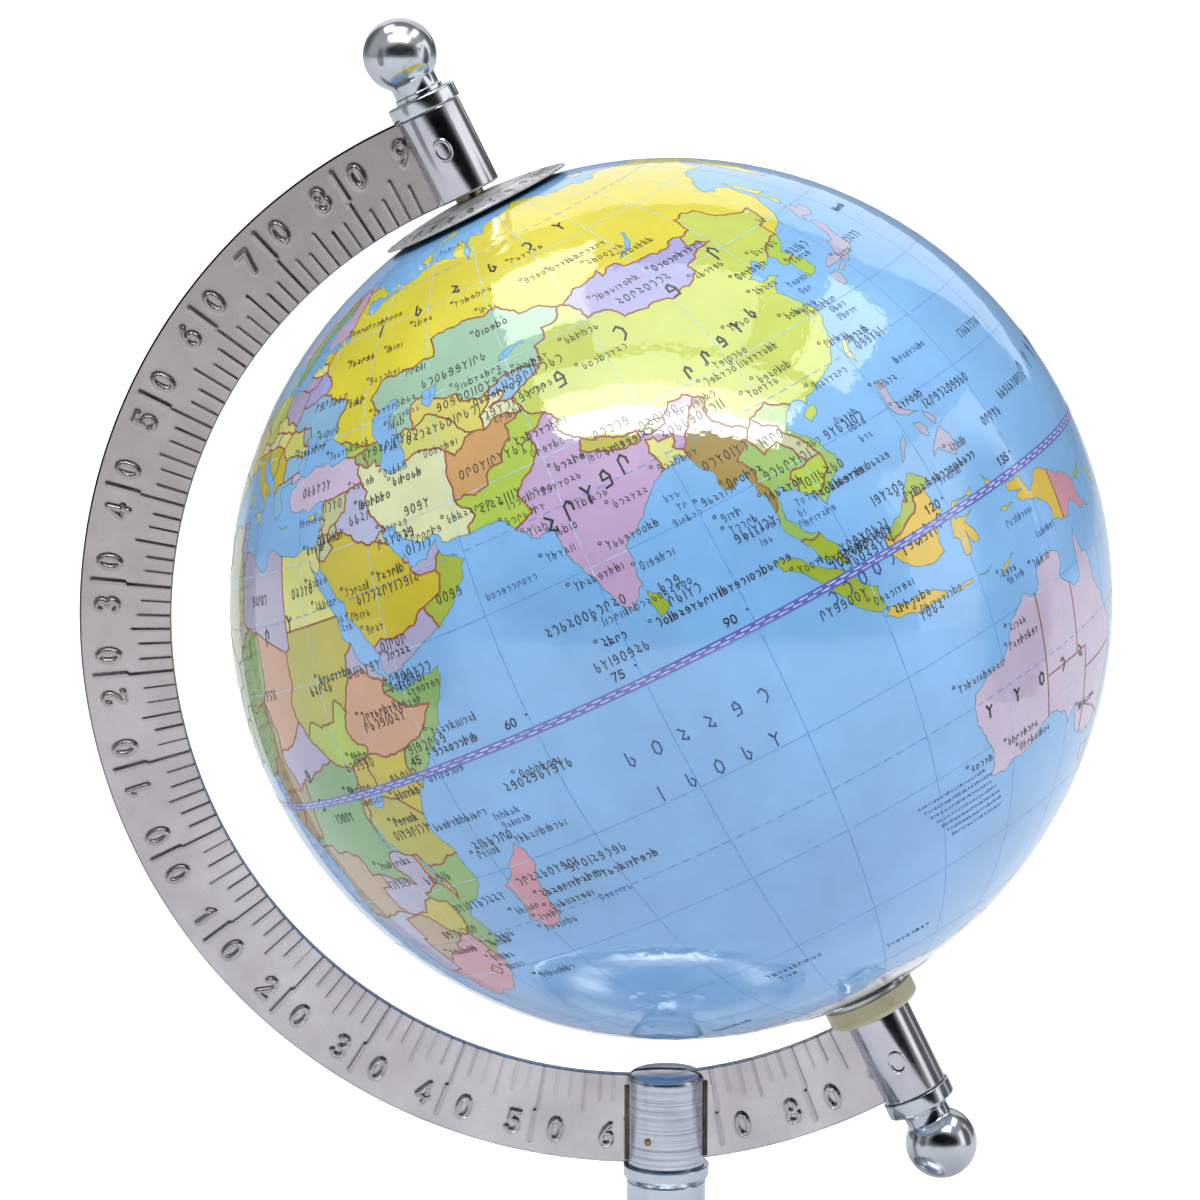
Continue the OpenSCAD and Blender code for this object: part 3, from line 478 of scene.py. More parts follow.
# Open lines between countries. Names that end in _line stay straight.
BORDERS = """
egypt_line: 25,31.8 25,22 37.5,22
libya_line: 25,20 24,19.6 15,23
libya: 15,23 14.2,22.6 12,23.5 10,24.3 9.4,26.2 9.9,27 9.5,30.2 10.2,31.7 11.5,33.3
egypt_sudan_line: 25,22 25,20
tunisia: 9.5,30.2 7.5,33.8 8.4,37.3
algeria: 12,23.5 5.7,19.4 3.2,19 -4.8,25 -8.7,27.3 -8.7,28.7 -5,30 -1.2,32.1 -1.8,35.4
sahara_line: -8.7,27.7 -13.4,27.7 -8.7,27.7 -8.7,26 -12,26 -12,23.4 -13,21.3 -17.3,21.3
mauritania: -4.8,25 -5.5,15.5 -12.2,14.8 -16.8,16.2
chad_sudan: 24,19.6 24,15.7 22.5,13.5 22.9,11
niger_chad: 15,23 15.5,17 13.5,14
niger_nigeria: 13.5,14 9,12.8 4,13.5 3.6,11.7 2.7,9 2.7,6
niger_mali: 3.2,19 4.2,16 0.2,15 -5.2,11.8 -8,10.2 -11,12
burkina: 3.6,11.7 0,11 -2.8,9.6 -5.2,11.8
ivory_coast: -2.8,9.6 -3,5
guinea: -8,10.2 -8.3,7 -7.6,4.2
cameroon: 13.5,14 14,10 13,7 11,6.6 8.7,4.4
cameroon_east: 13.5,14 14.5,13 15.5,10 14.5,6 16.1,3.5 16.2,2.2
chad_south: 14.5,7.6 18.6,8 22.9,11
centrafrique: 22.9,11 24.2,8.7 27.4,5.1
congo_north: 16.2,2.2 18.6,3.5 22.4,4.1 27.4,5.1
gabon: 9.6,1 11.3,1 11.3,2.2 16.2,2.2
gabon_east: 13.3,2.2 14.2,0 11.2,-2.5 10.8,-4
congo_river: 18.6,3.5 17.8,0.5 16.2,-2 15.3,-4.3 13,-4.6 11.6,-5.2
angola_north: 12.1,-6 16.3,-5.9 16.6,-7 19.5,-7 21.8,-8 21.9,-11 24,-11
angola_line: 24,-11 24,-13 22,-13 22,-16.2 23.4,-17.6
angola_south: 11.5,-17.2 14,-17.4 18.4,-17.4 23.4,-17.6 25.3,-17.8
namibia_line: 25.3,-17.8 21,-18.3 21,-22 20,-22 20,-24.8 20,-28.4
orange_river: 20,-28.4 17.5,-28.8 16.2,-28.6
botswana: 20,-24.8 20.7,-26.8 22.7,-25.4 25.6,-25.6 27,-23.6 29.4,-22.2 27.7,-20.5 25.3,-17.8
zimbabwe: 29.4,-22.2 31.3,-22.4 32.5,-21.3 33,-19 32.9,-17 30.4,-15.8 28.9,-16 27,-17.9 25.3,-17.8
zambia: 30.4,-15.8 30.2,-15 33.2,-14 33.3,-12 33,-9.4
katanga: 24,-11 26,-11.9 28.5,-12.2 29.8,-13.4 29.6,-12.2 28.5,-11 28.4,-9.2 29,-8.4 30.7,-8.3
tanzania_south: 30.7,-8.3 33,-9.4 34,-9.5 34.9,-11.5 37,-11.7 41,-10.4
malawi: 33.2,-14 34.5,-14.4 35.3,-17 35.9,-16 35.8,-14.3 34.6,-12 34.9,-11.5
transvaal: 31.3,-22.4 32,-24.5 32,-26.8 33.2,-26.9
swaziland: 32,-26 31,-26 30.9,-27.1 32,-27
lesotho: 27.1,-29.6 28.6,-28.6 29.4,-29.6 28.1,-30.6 27.1,-29.6
kenya_tanzania: 30.5,-1.1 34,-1 37.6,-3 39.5,-4.8
great_lakes: 30.7,-8.3 29.5,-6.5 29.3,-4.5 30.4,-2.3 30.5,-1.1 29.6,-1.4 29.9,0.8 31.2,2.2 30.9,3.5 34,4.2
rwanda: 29.3,-4.5 29.1,-2.5 29.6,-1.4
uganda: 34,-1 34.3,1.5 34,4.2
kenya_north: 34,4.2 36,4.5 38,3.6 41.9,3.9
south_sudan: 27.4,5.1 30.9,3.5
south_sudan_east: 34,4.2 35.5,5.3 33,7.8 34.1,10.4
sudan_south: 24.2,8.7 26,10.4 28,9.4 31,9.7 32.6,12.2 34.1,10.4
sudan_east: 34.1,10.4 36.4,14.3 37,17 38.8,18.3
eritrea: 36.4,14.3 39.5,14.6 42.4,12.5 43.2,12.4
djibouti: 42.4,12.5 41.8,11 43.4,11.3
somalia: 41.8,11 44,9 48,8 45,5 41.9,3.9 41,2.8 41,-0.8 41.8,-1.7
sinai: 34,31.4 34.9,29.3
jordan: 34.9,29.4 35.5,31.5 35.7,32.7 35.8,33.4 35.1,33.1
lebanon: 35.8,33.4 36.5,34.3 35.7,34.7
syria: 35.7,32.7 36.8,32.3 38.8,33.4 41,34.4 41.3,36.5 42.4,37.1
jordan_line: 38.8,33.4 39.2,32.1 37,31.5 38,30.5 36,29.2 34.8,29.3
iraq_saudi: 39.2,32.1 42,31.1 44.7,29.2 46.5,29.1
kuwait: 48.8,29.9 47.6,30 46.5,29.1 47.7,28.5 48.7,28.5
iraq_iran: 48.8,29.8 47.7,31 46,33 45.5,34.5 46,35.7 44.8,37.2
turkey_south: 35.7,36 36.6,36.8 39,36.7 42.4,37.1 44.8,37.2 44.2,38.5 44.6,39.8
turkey_east: 41.4,41.5 43.5,41.1 43.7,40.1 44.6,39.8
caucasus: 39.6,43.7 42,43.4 44,42.7 46.5,41.9 48.7,41.9
georgia: 43.5,41.1 45,41.3 46.5,41.9
armenia: 45,41.3 46,40 46.5,38.9 44.6,39.8
azerbaijan: 46.5,38.9 48,39.5 48.2,38.6 49,38.4
yemen: 42.1,16.3 44,17.4 47,17 52,19 53.5,15.8
empty_quarter_line: 52,19 55,20 55.7,22 55.2,22.7 52.6,22.9 51.5,23.9 51.9,24.7
emirates: 55.2,22.7 55.8,24.2 57.2,25
qatar: 50.6,25.9 50.8,25.1 52,24.6
iran_north: 53.6,37.3 56,38.1 58.5,37.7 61.1,36.6 60.6,34 61,31.5 60.8,29.9
iran_east: 60.8,29.9 62.8,28 63.2,27 61.7,26 61.6,25
durand: 60.8,29.9 64,29.4 66.3,29.9 66.5,31.2 69.3,31.9 70,33.5 71.5,34.5 71.5,36.4 74.9,37.3
afghan_north: 61.1,36.6 62.5,35.4 64.8,37.1 66.6,37.4 68.1,37 70.2,37.9 71.5,37.9 73,37.4 74.9,37.3
turkmen: 66.6,37.4 64,38.9 62,41 60,42.2 58.5,42.6 56,41.3
turkmen_north: 56,41.3 54.5,42 52.4,41.7
uzbek: 56,41.3 56,45 58.5,45.5 61,44.3 65,43.6 66,42.1 69,41.4 71,42.3
kirghiz: 71,42.3 73.5,43 75,42.9 80.2,42.2 78,41 76.5,40.4 73.7,39.4 70,39.6 73,40.9 70.3,41.2 71,42.3
tajik: 68.1,37 68,39 70,40.3 70.3,41.2
pamir: 73.7,39.4 74.9,37.3
india_west: 67.4,23.1 71,24.6 69.7,27 73,29.5 74.6,31.5 74,34 77.8,35.5
karakoram: 74.9,37.3 76,36 77.8,35.5 79,34 78.5,32.5 81,30.2
nepal: 81,30.2 84,28.9 86,27.9 88.1,27.8 88.1,26.4 85,26.6 82,27.9 80.1,28.8 81,30.2
bhutan: 88.1,27.8 88.9,27.3 90.5,28.1 92.1,27.8 92,26.9 89,26.8 88.9,27.3
himalaya_east: 92.1,27.8 94,29.2 96.2,29.2 97.3,28.2
bengal: 89,21.5 88.8,23 88.2,24.5 88.6,26.2 89.8,26 90,25.2 92.2,25.1 91.3,23.8 92.3,23 92.3,20.5
burma_west: 92.3,22 93.3,23.9 94.7,25.3 97.3,28.2 98.6,27.5 97.6,24.5 99,23 101.2,21.4
burma_east: 101.2,21.4 100.1,20.3 97.6,18.5 98.7,16.2 98.3,15 99.5,12.3 98,10.2
laos: 101.2,21.4 102.2,22.4 103,20.9 104.8,20 105,18.7 107,16.3 107.6,14.5 105.5,14.4 104.8,16.5 103.5,18.3
 101.2,17.6 100.1,20.3
vietnam: 102.2,22.4 105.3,23.3 108.2,21.4
cambodia: 105.5,14.4 103,14.3 102.4,13.5 102.9,12.5 102.3,11.6
mekong: 107.6,14.5 107.5,12.4 106,11.1 103.9,10
malaya: 99.2,6.5 101,5.8 102.7,6.5
sarawak: 109.1,2.3 110.5,0.9 112.5,1.5 115,2.5 115.9,4.3 118.7,4.2
brunei: 114.2,4.5 114.7,4.1 115.1,5.5
new_guinea_line: 141,-2.4 141,-9.3
turkestan: 80.2,42.2 80.5,45 82.5,45.3 83,47.2 85.7,47.2 87.5,49.2
gobi: 87.5,49.2 90.8,47 91,45.2 95.5,44.2 96.4,42.7 101.8,42.6 105,41.6 110,42.6 112,43.7 111.8,45 116,46.5
 119.8,46.8 118,47.9 115.6,47.8 116.7,49.8
altai: 87.5,49.2 92,50.7 98,51.7 98.3,50.3 102,51.3 103,50.1 107,49.8 110,49.2 114,50.2 116.7,49.8
amur: 116.7,49.8 119.5,50.2 120.2,53 123.5,53.5 126,52.8 127.5,50 130.5,48.8 134.7,48.4 133.1,45 131,44.9
 130.7,42.2
yalu: 124.2,39.9 126.9,41.8 128.1,42 130.8,42.4
korea: 126.3,37.8 128.6,38.6
kazakh_north: 48.9,45.8 46.5,48.4 48.7,50.5 55,50.8 58.5,51 61.5,50.8 61,53.9 65,54.4 71,54.1 73.5,53.6
 76.5,54.2 80.5,51.1 83.5,51 87.5,49.2
finland: 27.9,60 31.5,62.8 30,67.5 28.5,68.5 31,69.9
lapland: 28.5,68.9 26,69.9 20.6,69.1 23.7,67.9 24.2,65.7
norway: 20.6,69.1 14,64.5 12,61.5 11.3,58.8
baltic_north: 28,59.4 27.4,57.5 24.2,57.9
baltic_east: 27.4,57.5 28.2,56 31,54.8 32.5,53.2 31.8,52.1
lithuania: 28.2,56 26.6,55.6 20.9,56.2
poland_east: 26.6,55.6 25.7,54.2 23.5,54 19.5,54.3
belarus: 31.8,52.1 23.6,51.5 23.5,54
ukraine_east: 31.8,52.1 34.5,51.2 40,49.6 37.8,46.5
ukraine_west: 23.6,51.5 22.7,49 22.5,48 26.6,48.3 28.2,45.5 29.8,45.3
moldova: 26.6,48.3 29.2,47.9 30,46.5 28.2,45.5
bulgaria: 28.7,43.8 22.7,44.2 22.9,41.4 26.3,41.7 28.2,42
thrace: 26.3,41.7 26,40.6
romania_west: 22.7,44.2 20.3,46.1 22.5,48
balkans: 22.9,41.4 20.8,40.9 20,39.5
germany_east: 14.2,54 14.7,52 15,51 18.8,49.5 22.7,49
bohemia: 15,51 12.3,50.2 13.8,48.7 17,48.6 22.5,48
danube: 13.8,48.7 13,47.6 9.6,47.5 7.6,47.6
austria: 17,48.6 16.2,46.8 20.3,46.1
alps: 7.6,43.6 7,45.9 9,46 12.4,46.7 13.6,45.5
drava: 12.4,46.7 16.2,46.8
dinaric: 20.3,46.1 19,44.9 19.3,43.4 18.4,42.4
rhine: 7,45.9 7.6,47.6 8.2,49 6.1,49.5 2.4,51.2
low_countries: 6.1,49.5 6,51.8 7.1,53.7
pyrenees: -1.8,43.5 3.3,42.4
portugal: -8.9,41.9 -6.5,41.8 -7.4,37
canada_line: -123.2,49 -95,49
canada: -95,49 -88,48.2 -82.5,42.5 -79,43.3 -75,45 -67.5,47 -67,44.6
alaska_line: -141,69.9 -141,60
alaska: -141,60 -135,59.5 -130.3,55.2
mexico: -117.4,32.5 -111,31.4 -106.5,31.7 -103,29 -99.5,27.5 -97,25.9
guatemala: -92.3,14.8 -90.5,17.5 -88,18.4
honduras: -88,12.8 -83.1,15
colombia: -71.6,11.8 -72.5,8 -67.5,6 -67,1.2 -69.8,0 -70,-4.2
ecuador: -79,1.7 -75.2,0 -70,-4.2
peru: -80.6,-3.4 -79,-5 -75.2,0
peru_east: -70,-4.2 -73.5,-7.5 -70.5,-11 -69,-12.5 -69.5,-17.5 -70.8,-18.4
bolivia: -70.5,-11 -65.3,-10 -60.2,-14 -58.1,-20 -62.3,-20 -64,-22 -67.5,-22.8 -69.5,-17.5
andes: -67.5,-22.8 -70,-33 -71.5,-40 -72,-50 -68.4,-52.4
paraguay: -64,-22 -58,-25.5 -54.6,-25.6 -54.3,-24 -58.1,-20
uruguay: -54.6,-25.6 -57.6,-30.2 -58.3,-34.6
uruguay_north: -57.6,-30.2 -53.2,-33.8
guyana: -67,1.2 -60.7,5.2 -60,8.7
guyana_east: -60.7,5.2 -59,1.3 -51.4,4.5
west_australia_line: 129,-14.5 129,-32.5
queensland_line: 138,-16 138,-26
south_australia_line: 129,-26 141,-26 141,-38.4
new_south_wales_line: 141,-29 148,-29 153.8,-28.5
victoria_line: 141,-34 147,-36 150.2,-37.6
"""

# Print colours as red,green,blue, then the longitude,latitude of a place in each country that has them.
PRINT = """
ocean: 130,188,243
russia: 226,214,38 60,60 100,60 40,68 150,66 142.6,51 56,73.5 66,76 98,79 144,75 180,71.1 43,46 55,80.7
 20.5,54.6 187,66
kazakh: 160,202,170 67,48
mongolia: 170,168,222 103,46.5 9.5,34 75,32 14,47.5 26,53.5
china: 198,212,86 103,33 109.5,19 127,46 -100,40 9,51
india: 196,168,208 78,21 93.5,25 94.5,27.8
pakistan: 176,206,60 67,28 55,81 30,8 105,12.7 126.8,40.5 127.8,36.5 42.8,42.2 -4,40 -75,55 -80,65 -65,-10
afghan: 206,158,92 66,34 35,-12.8 33.8,-13.5 -65,-35 17,64 38.9,9
iran: 222,228,176 55,32.5 10,46.5 70.5,38.8
turkmen: 214,214,110 60,39.5 23,47 121,24
uzbek: 220,210,96 63,42 26,62 2,47 -10,38.9
iraq: 184,186,220 43,32.5 17,-23 22,48.9 103,21 -70,-52
saudi: 206,190,28 45,23 15.5,41 38,1 30,-19 34.5,39.6 -90,35
oman: 166,186,52 57,21 80.7,7.5 102.5,4.5 101,-1 102,-3 150,-6 113.5,2.7 117,5.5 -72,-11 24.5,49.5
yemen: 178,172,208 48,15.5 39.5,15.2 21,7 20,52 51.3,25.2 54,23.5
turkey: 206,188,216 33,39.5 39,39 -58,-5 134,-23 122,-25 144,-22 146,-32 145,-37 134,-30 146,-42 176,-38.5
 171,-43.5 -100,60 -110,62
ukraine: 140,190,224 32,49 75,41.5 25,42.7
egypt: 226,226,124 29,27 34,29.5 90.3,24 25,56.5 19,48.5 -102,24
libya: 182,178,206 18,28 22,-14 136,35.2 138.3,36.3 133.5,33.6 131,32.5 143,43.3 121,17 124.8,7.8 122.8,10.8
 125,11.6 118.5,9.7 -75,3
chad: 212,160,122 18,15 40,8 47,40.3 -150,65 24.2,39.4
niger: 142,184,96 90.5,27.4 10,17 47.5,5 49,9 46,2 9,9 46,40.8 36.8,-13.5 36,-17 -60,20 15,61 13.5,65
sudan: 124,174,110 24,-2 -64,6 -6,32
tanzania: 190,184,56 30,15 34.5,-6.5 84,28.2 -63,-3
syria: 196,202,148 38.5,35 37,31 5,28 47.3,29.2 103.5,19 101.6,20.3
java: 226,190,54 110,-7.3 114,-1 120,-3.6 121.8,-0.9 137,-4 128.1,0.6 129,-3.35 117.5,-8.6 121.5,-8.5
 125,-9.5 120,-2 120.3,0.7
thailand: 154,194,96 101,16 99,8.4 12,0 -56,-32 108,15.2 107,20.5 28,65 106.5,10.9 108.7,13
burma: 166,140,60 96,21 98,16 99,12.5 13,4 -61,-23
laos: 216,150,168 46.5,-19.5 25,-30 28.3,-29.6 144,-6 -70,8 -85,14 -95,50
botswana: 188,160,120 24,-22 18,-12 39,-17.2
nordic: 206,178,208 9,61 22,69.4 -3,53 -8,53 -19,65 -42,72 16,78.5
antarctic: 236,238,240
"""


def read_lines(text):
    """{name: [tuples of numbers]} from text such as the outlines above."""
    out, points = {}, None
    for word in text.split():
        if word.endswith(":"):
            points = out.setdefault(word[:-1], [])
        else:
            points.append(tuple(float(v) for v in word.split(",")))
    return out


PRINT = {name: (words[0], words[1:]) for name, words in read_lines(PRINT).items()}


def crinkled(a, b, rng, amount, shortest):
    """Points from a up to, but not including, b, with every midpoint pushed a little to one side."""
    dx, dy = b[0] - a[0], b[1] - a[1]
    wide = math.cos(math.radians((a[1] + b[1]) / 2))
    if math.hypot(dx * wide, dy) < shortest:
        return [a]
    push = rng.uniform(-amount, amount)
    mid = ((a[0] + b[0]) / 2 - dy * push, (a[1] + b[1]) / 2 + dx * push)
    return crinkled(a, mid, rng, amount, shortest) + crinkled(mid, b, rng, amount, shortest)


def on_globe(lon, lat, r):
    lo, la = math.radians(lon - FRONT_LON), math.radians(lat)
    east = FRONT * math.cos(lo) + SIDE * math.sin(lo)
    return CENTRE + (east * math.cos(la) + NORTH * math.sin(la)) * r

# Antarctica's coast, an open line across the whole map.
ANTARCTIC = """
ice: -170,-78.5 -160,-78 -150,-77 -140,-75 -120,-74 -100,-73.5 -90,-73 -75,-73.5 -67,-70 -62,-65 -57,-63.2
 -61,-70 -62,-75 -45,-78 -30,-76 -12,-71.5 0,-70 20,-70 35,-69 50,-67 70,-68 80,-68 100,-66 115,-66.5
 135,-66 150,-68.5 165,-70.5 170,-72 165,-77.5 175,-78.3 190,-78.5
"""
WEST, EAST = -170.0, 190.0


def chains():
    """Every printed outline as (points, kind, closed), crinkled between the points that are given."""
    rng = random.Random(11)
    out = []
    for text, kind, closed in ((COASTS, "coast", True), (LAKES, "lake", True), (BORDERS, "border", False),
                               (ANTARCTIC, "ice", False)):
        for name, points in read_lines(text).items():
            ends = points[1:] + points[:1] if closed else points[1:]
            amount = 0.0 if name.endswith("_line") else 0.13
            line = []
            for a, b in zip(points, ends):
                line += crinkled(a, b, rng, amount, 0.75)
            if not closed:
                line.append(points[-1])
            out.append((line, kind, closed))
    return out


def inside(polygon, px, py):
    """Even-odd test of many points against one closed polygon."""
    hit = np.zeros(len(px), bool)
    for (x0, y0), (x1, y1) in zip(polygon, polygon[1:] + polygon[:1]):
        if y0 == y1:
            continue
        rows = (y0 > py) != (y1 > py)
        hit[rows] ^= px[rows] < (x1 - x0) * (py[rows] - y0) / (y1 - y0) + x0
    return hit


class Map:
    """The flat map, cut into triangles along every printed line."""

    def __init__(self):
        self.points, self.edges, self.kinds, self.index = [], [], [], {}
        self.lines = chains()
        self.add_grid()
        for line, kind, closed in self.lines:
            ids = [self.point(*p) for p in line]
            self.link(ids + ids[:1] if closed else ids, kind)
        self.cut()
        self.find_land()
        self.fill()

    def point(self, lon, lat):
        key = (round(min(max(lon, WEST), EAST), 5), round(min(max(lat, -POLE_LAT), POLE_LAT), 5))
        if key not in self.index:
            self.index[key] = len(self.points)
            self.points.append(key)
        return self.index[key]

    def link(self, ids, kind):
        for a, b in zip(ids, ids[1:]):
            if a != b:
                self.edges.append((a, b))
                self.kinds.append(kind)

    def add_grid(self):
        lats = [-POLE_LAT] + list(range(-84, 85, 3)) + [POLE_LAT]
        lons = [WEST + 2.5 * i for i in range(145)]
        for lat in lats:
            ids = [self.point(lon, lat) for lon in lons]
            if lat in (lats[0], lats[-1]):
                self.link(ids, "edge")
            elif lat % 15 == 0:
                self.link(ids, "equator" if lat == 0 else "grid")
        for lon in lons:
            ids = [self.point(lon, lat) for lat in lats]
            if lon in (WEST, EAST):
                self.link(ids, "edge")
            elif lon % 15 == 0:
                self.link(ids, "grid")

    def cut(self):
        found = delaunay_2d_cdt([Vector(p) for p in self.points], self.edges, [], 0, 1e-6, True)
        self.v = np.array([tuple(p) for p in found[0]])
        self.f = np.array([list(face) for face in found[2]])
        self.barriers, self.sides = {}, {}
        for (a, b), sources in zip(found[1], found[4]):
            if sources:
                self.barriers[(min(a, b), max(a, b))] = {self.kinds[s] for s in sources}
        for t, tri in enumerate(self.f):
            for i in range(3):
                a, b = tri[i], tri[(i + 1) % 3]
                self.sides.setdefault((min(a, b), max(a, b)), []).append(t)

    def find_land(self):
        mid = self.v[self.f].mean(1)
        self.land = np.zeros(len(mid), bool)
        wet = np.zeros(len(mid), bool)
        for line, kind, closed in self.lines:
            if kind == "coast":
                self.land |= inside(line, mid[:, 0], mid[:, 1])
            elif kind == "lake":
                wet |= inside(line, mid[:, 0], mid[:, 1])
            elif kind == "ice":
                self.ice = inside(line + [(EAST, -95.0), (WEST, -95.0)], mid[:, 0], mid[:, 1])
        self.land &= ~wet
        self.mid = mid

    def at(self, lon, lat):
        """The triangle that holds a place, or the nearest one."""
        near = np.argsort(((self.mid - (lon, lat)) ** 2).sum(1))[:60]
        for t in near:
            a, b, c = self.v[self.f[t]]
            turns = [np.cross(q - p, np.array((lon, lat)) - p) for p, q in ((a, b), (b, c), (c, a))]
            if min(turns) >= 0 or max(turns) <= 0:
                return t
        return near[0]

    def fill(self):
        """Spreads each country's colour from its seeds, then lets what is left take a neighbour's."""
        names = list(PRINT)
        self.tint = np.full(len(self.f), -1)
        self.tint[~self.land] = names.index("ocean")
        self.tint[self.ice] = names.index("antarctic")
        walls = {e for e, kinds in self.barriers.items() if kinds & {"coast", "lake", "border"}}
        fronts = []
        for name in names:
            for lon, lat in PRINT[name][1]:
                t = self.at(lon, lat)
                if self.tint[t] < 0:
                    fronts.append((t, names.index(name)))
        for cross in (False, True):
            while fronts:
                t, tint = fronts.pop()
                if self.tint[t] >= 0:
                    continue
                self.tint[t] = tint
                fronts += [(n, tint) for n, wall in self.around(t, walls) if not wall and self.tint[n] < 0]
                if cross:
                    continue
            for t in np.flatnonzero(self.tint < 0):
                known = [self.tint[n] for n, _ in self.around(t, walls) if self.tint[n] > 0]
                if known:
                    fronts.append((t, known[0]))
        self.tint[self.tint < 0] = names.index("russia")

    def around(self, t, walls):
        tri = self.f[t]
        for i in range(3):
            a, b = tri[i], tri[(i + 1) % 3]
            key = (min(a, b), max(a, b))
            for n in self.sides[key]:
                if n != t:
                    yield n, key in walls


def half_skin(world, name, half, materials):
    """One half of the printed skin as a closed shell, welded where the map's two side edges meet."""
    pick = (world.mid[:, 1] * half) > 0
    tris, tints = world.f[pick], world.tint[pick]
    weld, verts, ids = {}, [], {}
    for v in np.unique(tris):
        lon, lat = world.v[v]
        key = (round(lon % 360, 4) % 360, round(lat, 4))
        if key not in weld:
            weld[key] = len(verts)
            verts.append((lon, lat))
        ids[v] = weld[key]
    count = len(verts)
    points = [on_globe(lon, lat, GLOBE_R) for lon, lat in verts]
    points += [on_globe(lon, lat, SHELL_R) for lon, lat in verts]
    outer = [[ids[v] for v in tri] for tri in tris]
    p = [points[i] for i in outer[0]]
    if (p[1] - p[0]).cross(p[2] - p[0]).dot(p[0] - CENTRE) < 0:
        outer = [tri[::-1] for tri in outer]
    keep = [i for i, tri in enumerate(outer) if len(set(tri)) == 3]
    outer, tints = [outer[i] for i in keep], [int(tints[i]) for i in keep]
    directed = {(tri[i], tri[(i + 1) % 3]) for tri in outer for i in range(3)}
    rim = sorted((a, b) for a, b in directed if (b, a) not in directed)
    faces = outer + [[count + v for v in tri[::-1]] for tri in outer]
    faces += [[b, a, count + a, count + b] for a, b in rim]
    slots = tints + tints + [0] * len(rim)
    normals = [(q - CENTRE).normalized() * (1 if i < count else -1) for i, q in enumerate(points)]
    return make_object(name, points, faces, "globe", materials, slots, normals)


def direction(lon, lat):
    """The unit direction from the globe's centre to a place."""
    return on_globe(lon, lat, 1.0) - CENTRE


class Strokes:
    """Thin raised bars on a sphere about the globe's centre, gathered into one mesh of closed bars."""

    def __init__(self, top, sunk=0.02, radius=GLOBE_R):
        self.verts, self.faces = [], []
        self.radius, self.low, self.high = radius, radius - sunk, radius + top

    def bar(self, a, b, width):
        """A bar between two unit directions."""
        along = b - a
        if along.length < 1e-7:
            return
        along.normalize()
        across = a.cross(along).normalized() * (width / 2 / self.radius)
        reach = along * (width * 0.5 / self.radius)
        base = len(self.verts)
        for r in (self.low, self.high):
            for p, s in ((a - reach, -1), (b + reach, -1), (b + reach, 1), (a - reach, 1)):
                self.verts.append(CENTRE + (p + across * s).normalized() * r)
        # across is left of the way from a to b, seen from outside
        quads = ((0, 3, 2, 1), (4, 5, 6, 7), (0, 1, 5, 4), (1, 2, 6, 5), (2, 3, 7, 6), (3, 0, 4, 7))
        self.faces += [[base + i for i in q[::-1]] for q in quads]

    def line(self, a, b, width):
        self.bar(direction(*a), direction(*b), width)

    def run(self, places, width):
        for a, b in zip(places, places[1:]):
            self.line(a, b, width)

    def dot(self, lon, lat, radius, sides=8):
        centre = direction(lon, lat)
        u = centre.orthogonal().normalized()
        w = centre.cross(u)
        base = len(self.verts)
        for r in (self.low, self.high):
            for k in range(sides):
                a = 2 * math.pi * k / sides
                offset = (u * math.cos(a) + w * math.sin(a)) * (radius / self.radius)
                self.verts.append(CENTRE + (centre + offset).normalized() * r)
        self.faces.append([base + k for k in reversed(range(sides))])
        self.faces.append([base + sides + k for k in range(sides)])
        for k in range(sides):
            m = (k + 1) % sides
            self.faces.append([base + k, base + m, base + sides + m, base + sides + k])

    def ring(self, lon, lat, radius, width, sides=8):
        high = math.degrees(radius / self.radius)
        self.run(oval(lon, lat, high / math.cos(math.radians(lat)), high, 0, 360, sides), width)

    def finish(self, name, material, body="globe", slot="map_print"):
        piece = make_object(name, self.verts, self.faces, body, [material])
        piece.data.polygons.foreach_set("use_smooth", [False] * len(piece.data.polygons))
        return piece


# widths of the printed lines
COAST_W, BORDER_W, GRID_W, DASH_W = 0.13, 0.27, 0.11, 0.12


def printed_lines(world, inks):
    """Coasts, borders and graticule, each where it belongs."""
    names = list(PRINT)
    sea = names.index("ocean")
    coast, border, grid_sea, grid_land = (Strokes(top) for top in (0.015, 0.022, 0.008, 0.008))
    for (a, b), kinds in sorted(world.barriers.items()):
        sides = world.sides.get((a, b), [])
        if len(sides) != 2:
            continue
        wet = [world.tint[t] == sea for t in sides]
        ends = (world.v[a], world.v[b])
        if kinds & {"coast", "lake", "ice"} and wet[0] != wet[1]:
            coast.line(*ends, COAST_W)
        elif "border" in kinds and not any(wet):
            border.line(*ends, BORDER_W)
        elif "grid" in kinds:
            (grid_sea if all(wet) else grid_land).line(*ends, GRID_W)
    # the tropics and polar circles are dashed
    for circle, step in ((23.44, 2), (66.56, 4)):
        for lat in (-circle, circle):
            for k in range(0, 360, step):
                grid_sea.line((k, lat), (k + step * 0.55, lat), DASH_W)
    coast.finish("map_coasts", inks["coast"])
    border.finish("map_borders", inks["border"])
    grid_sea.finish("map_graticule_sea", inks["grid_sea"])
    grid_land.finish("map_graticule_land", inks["grid_land"])


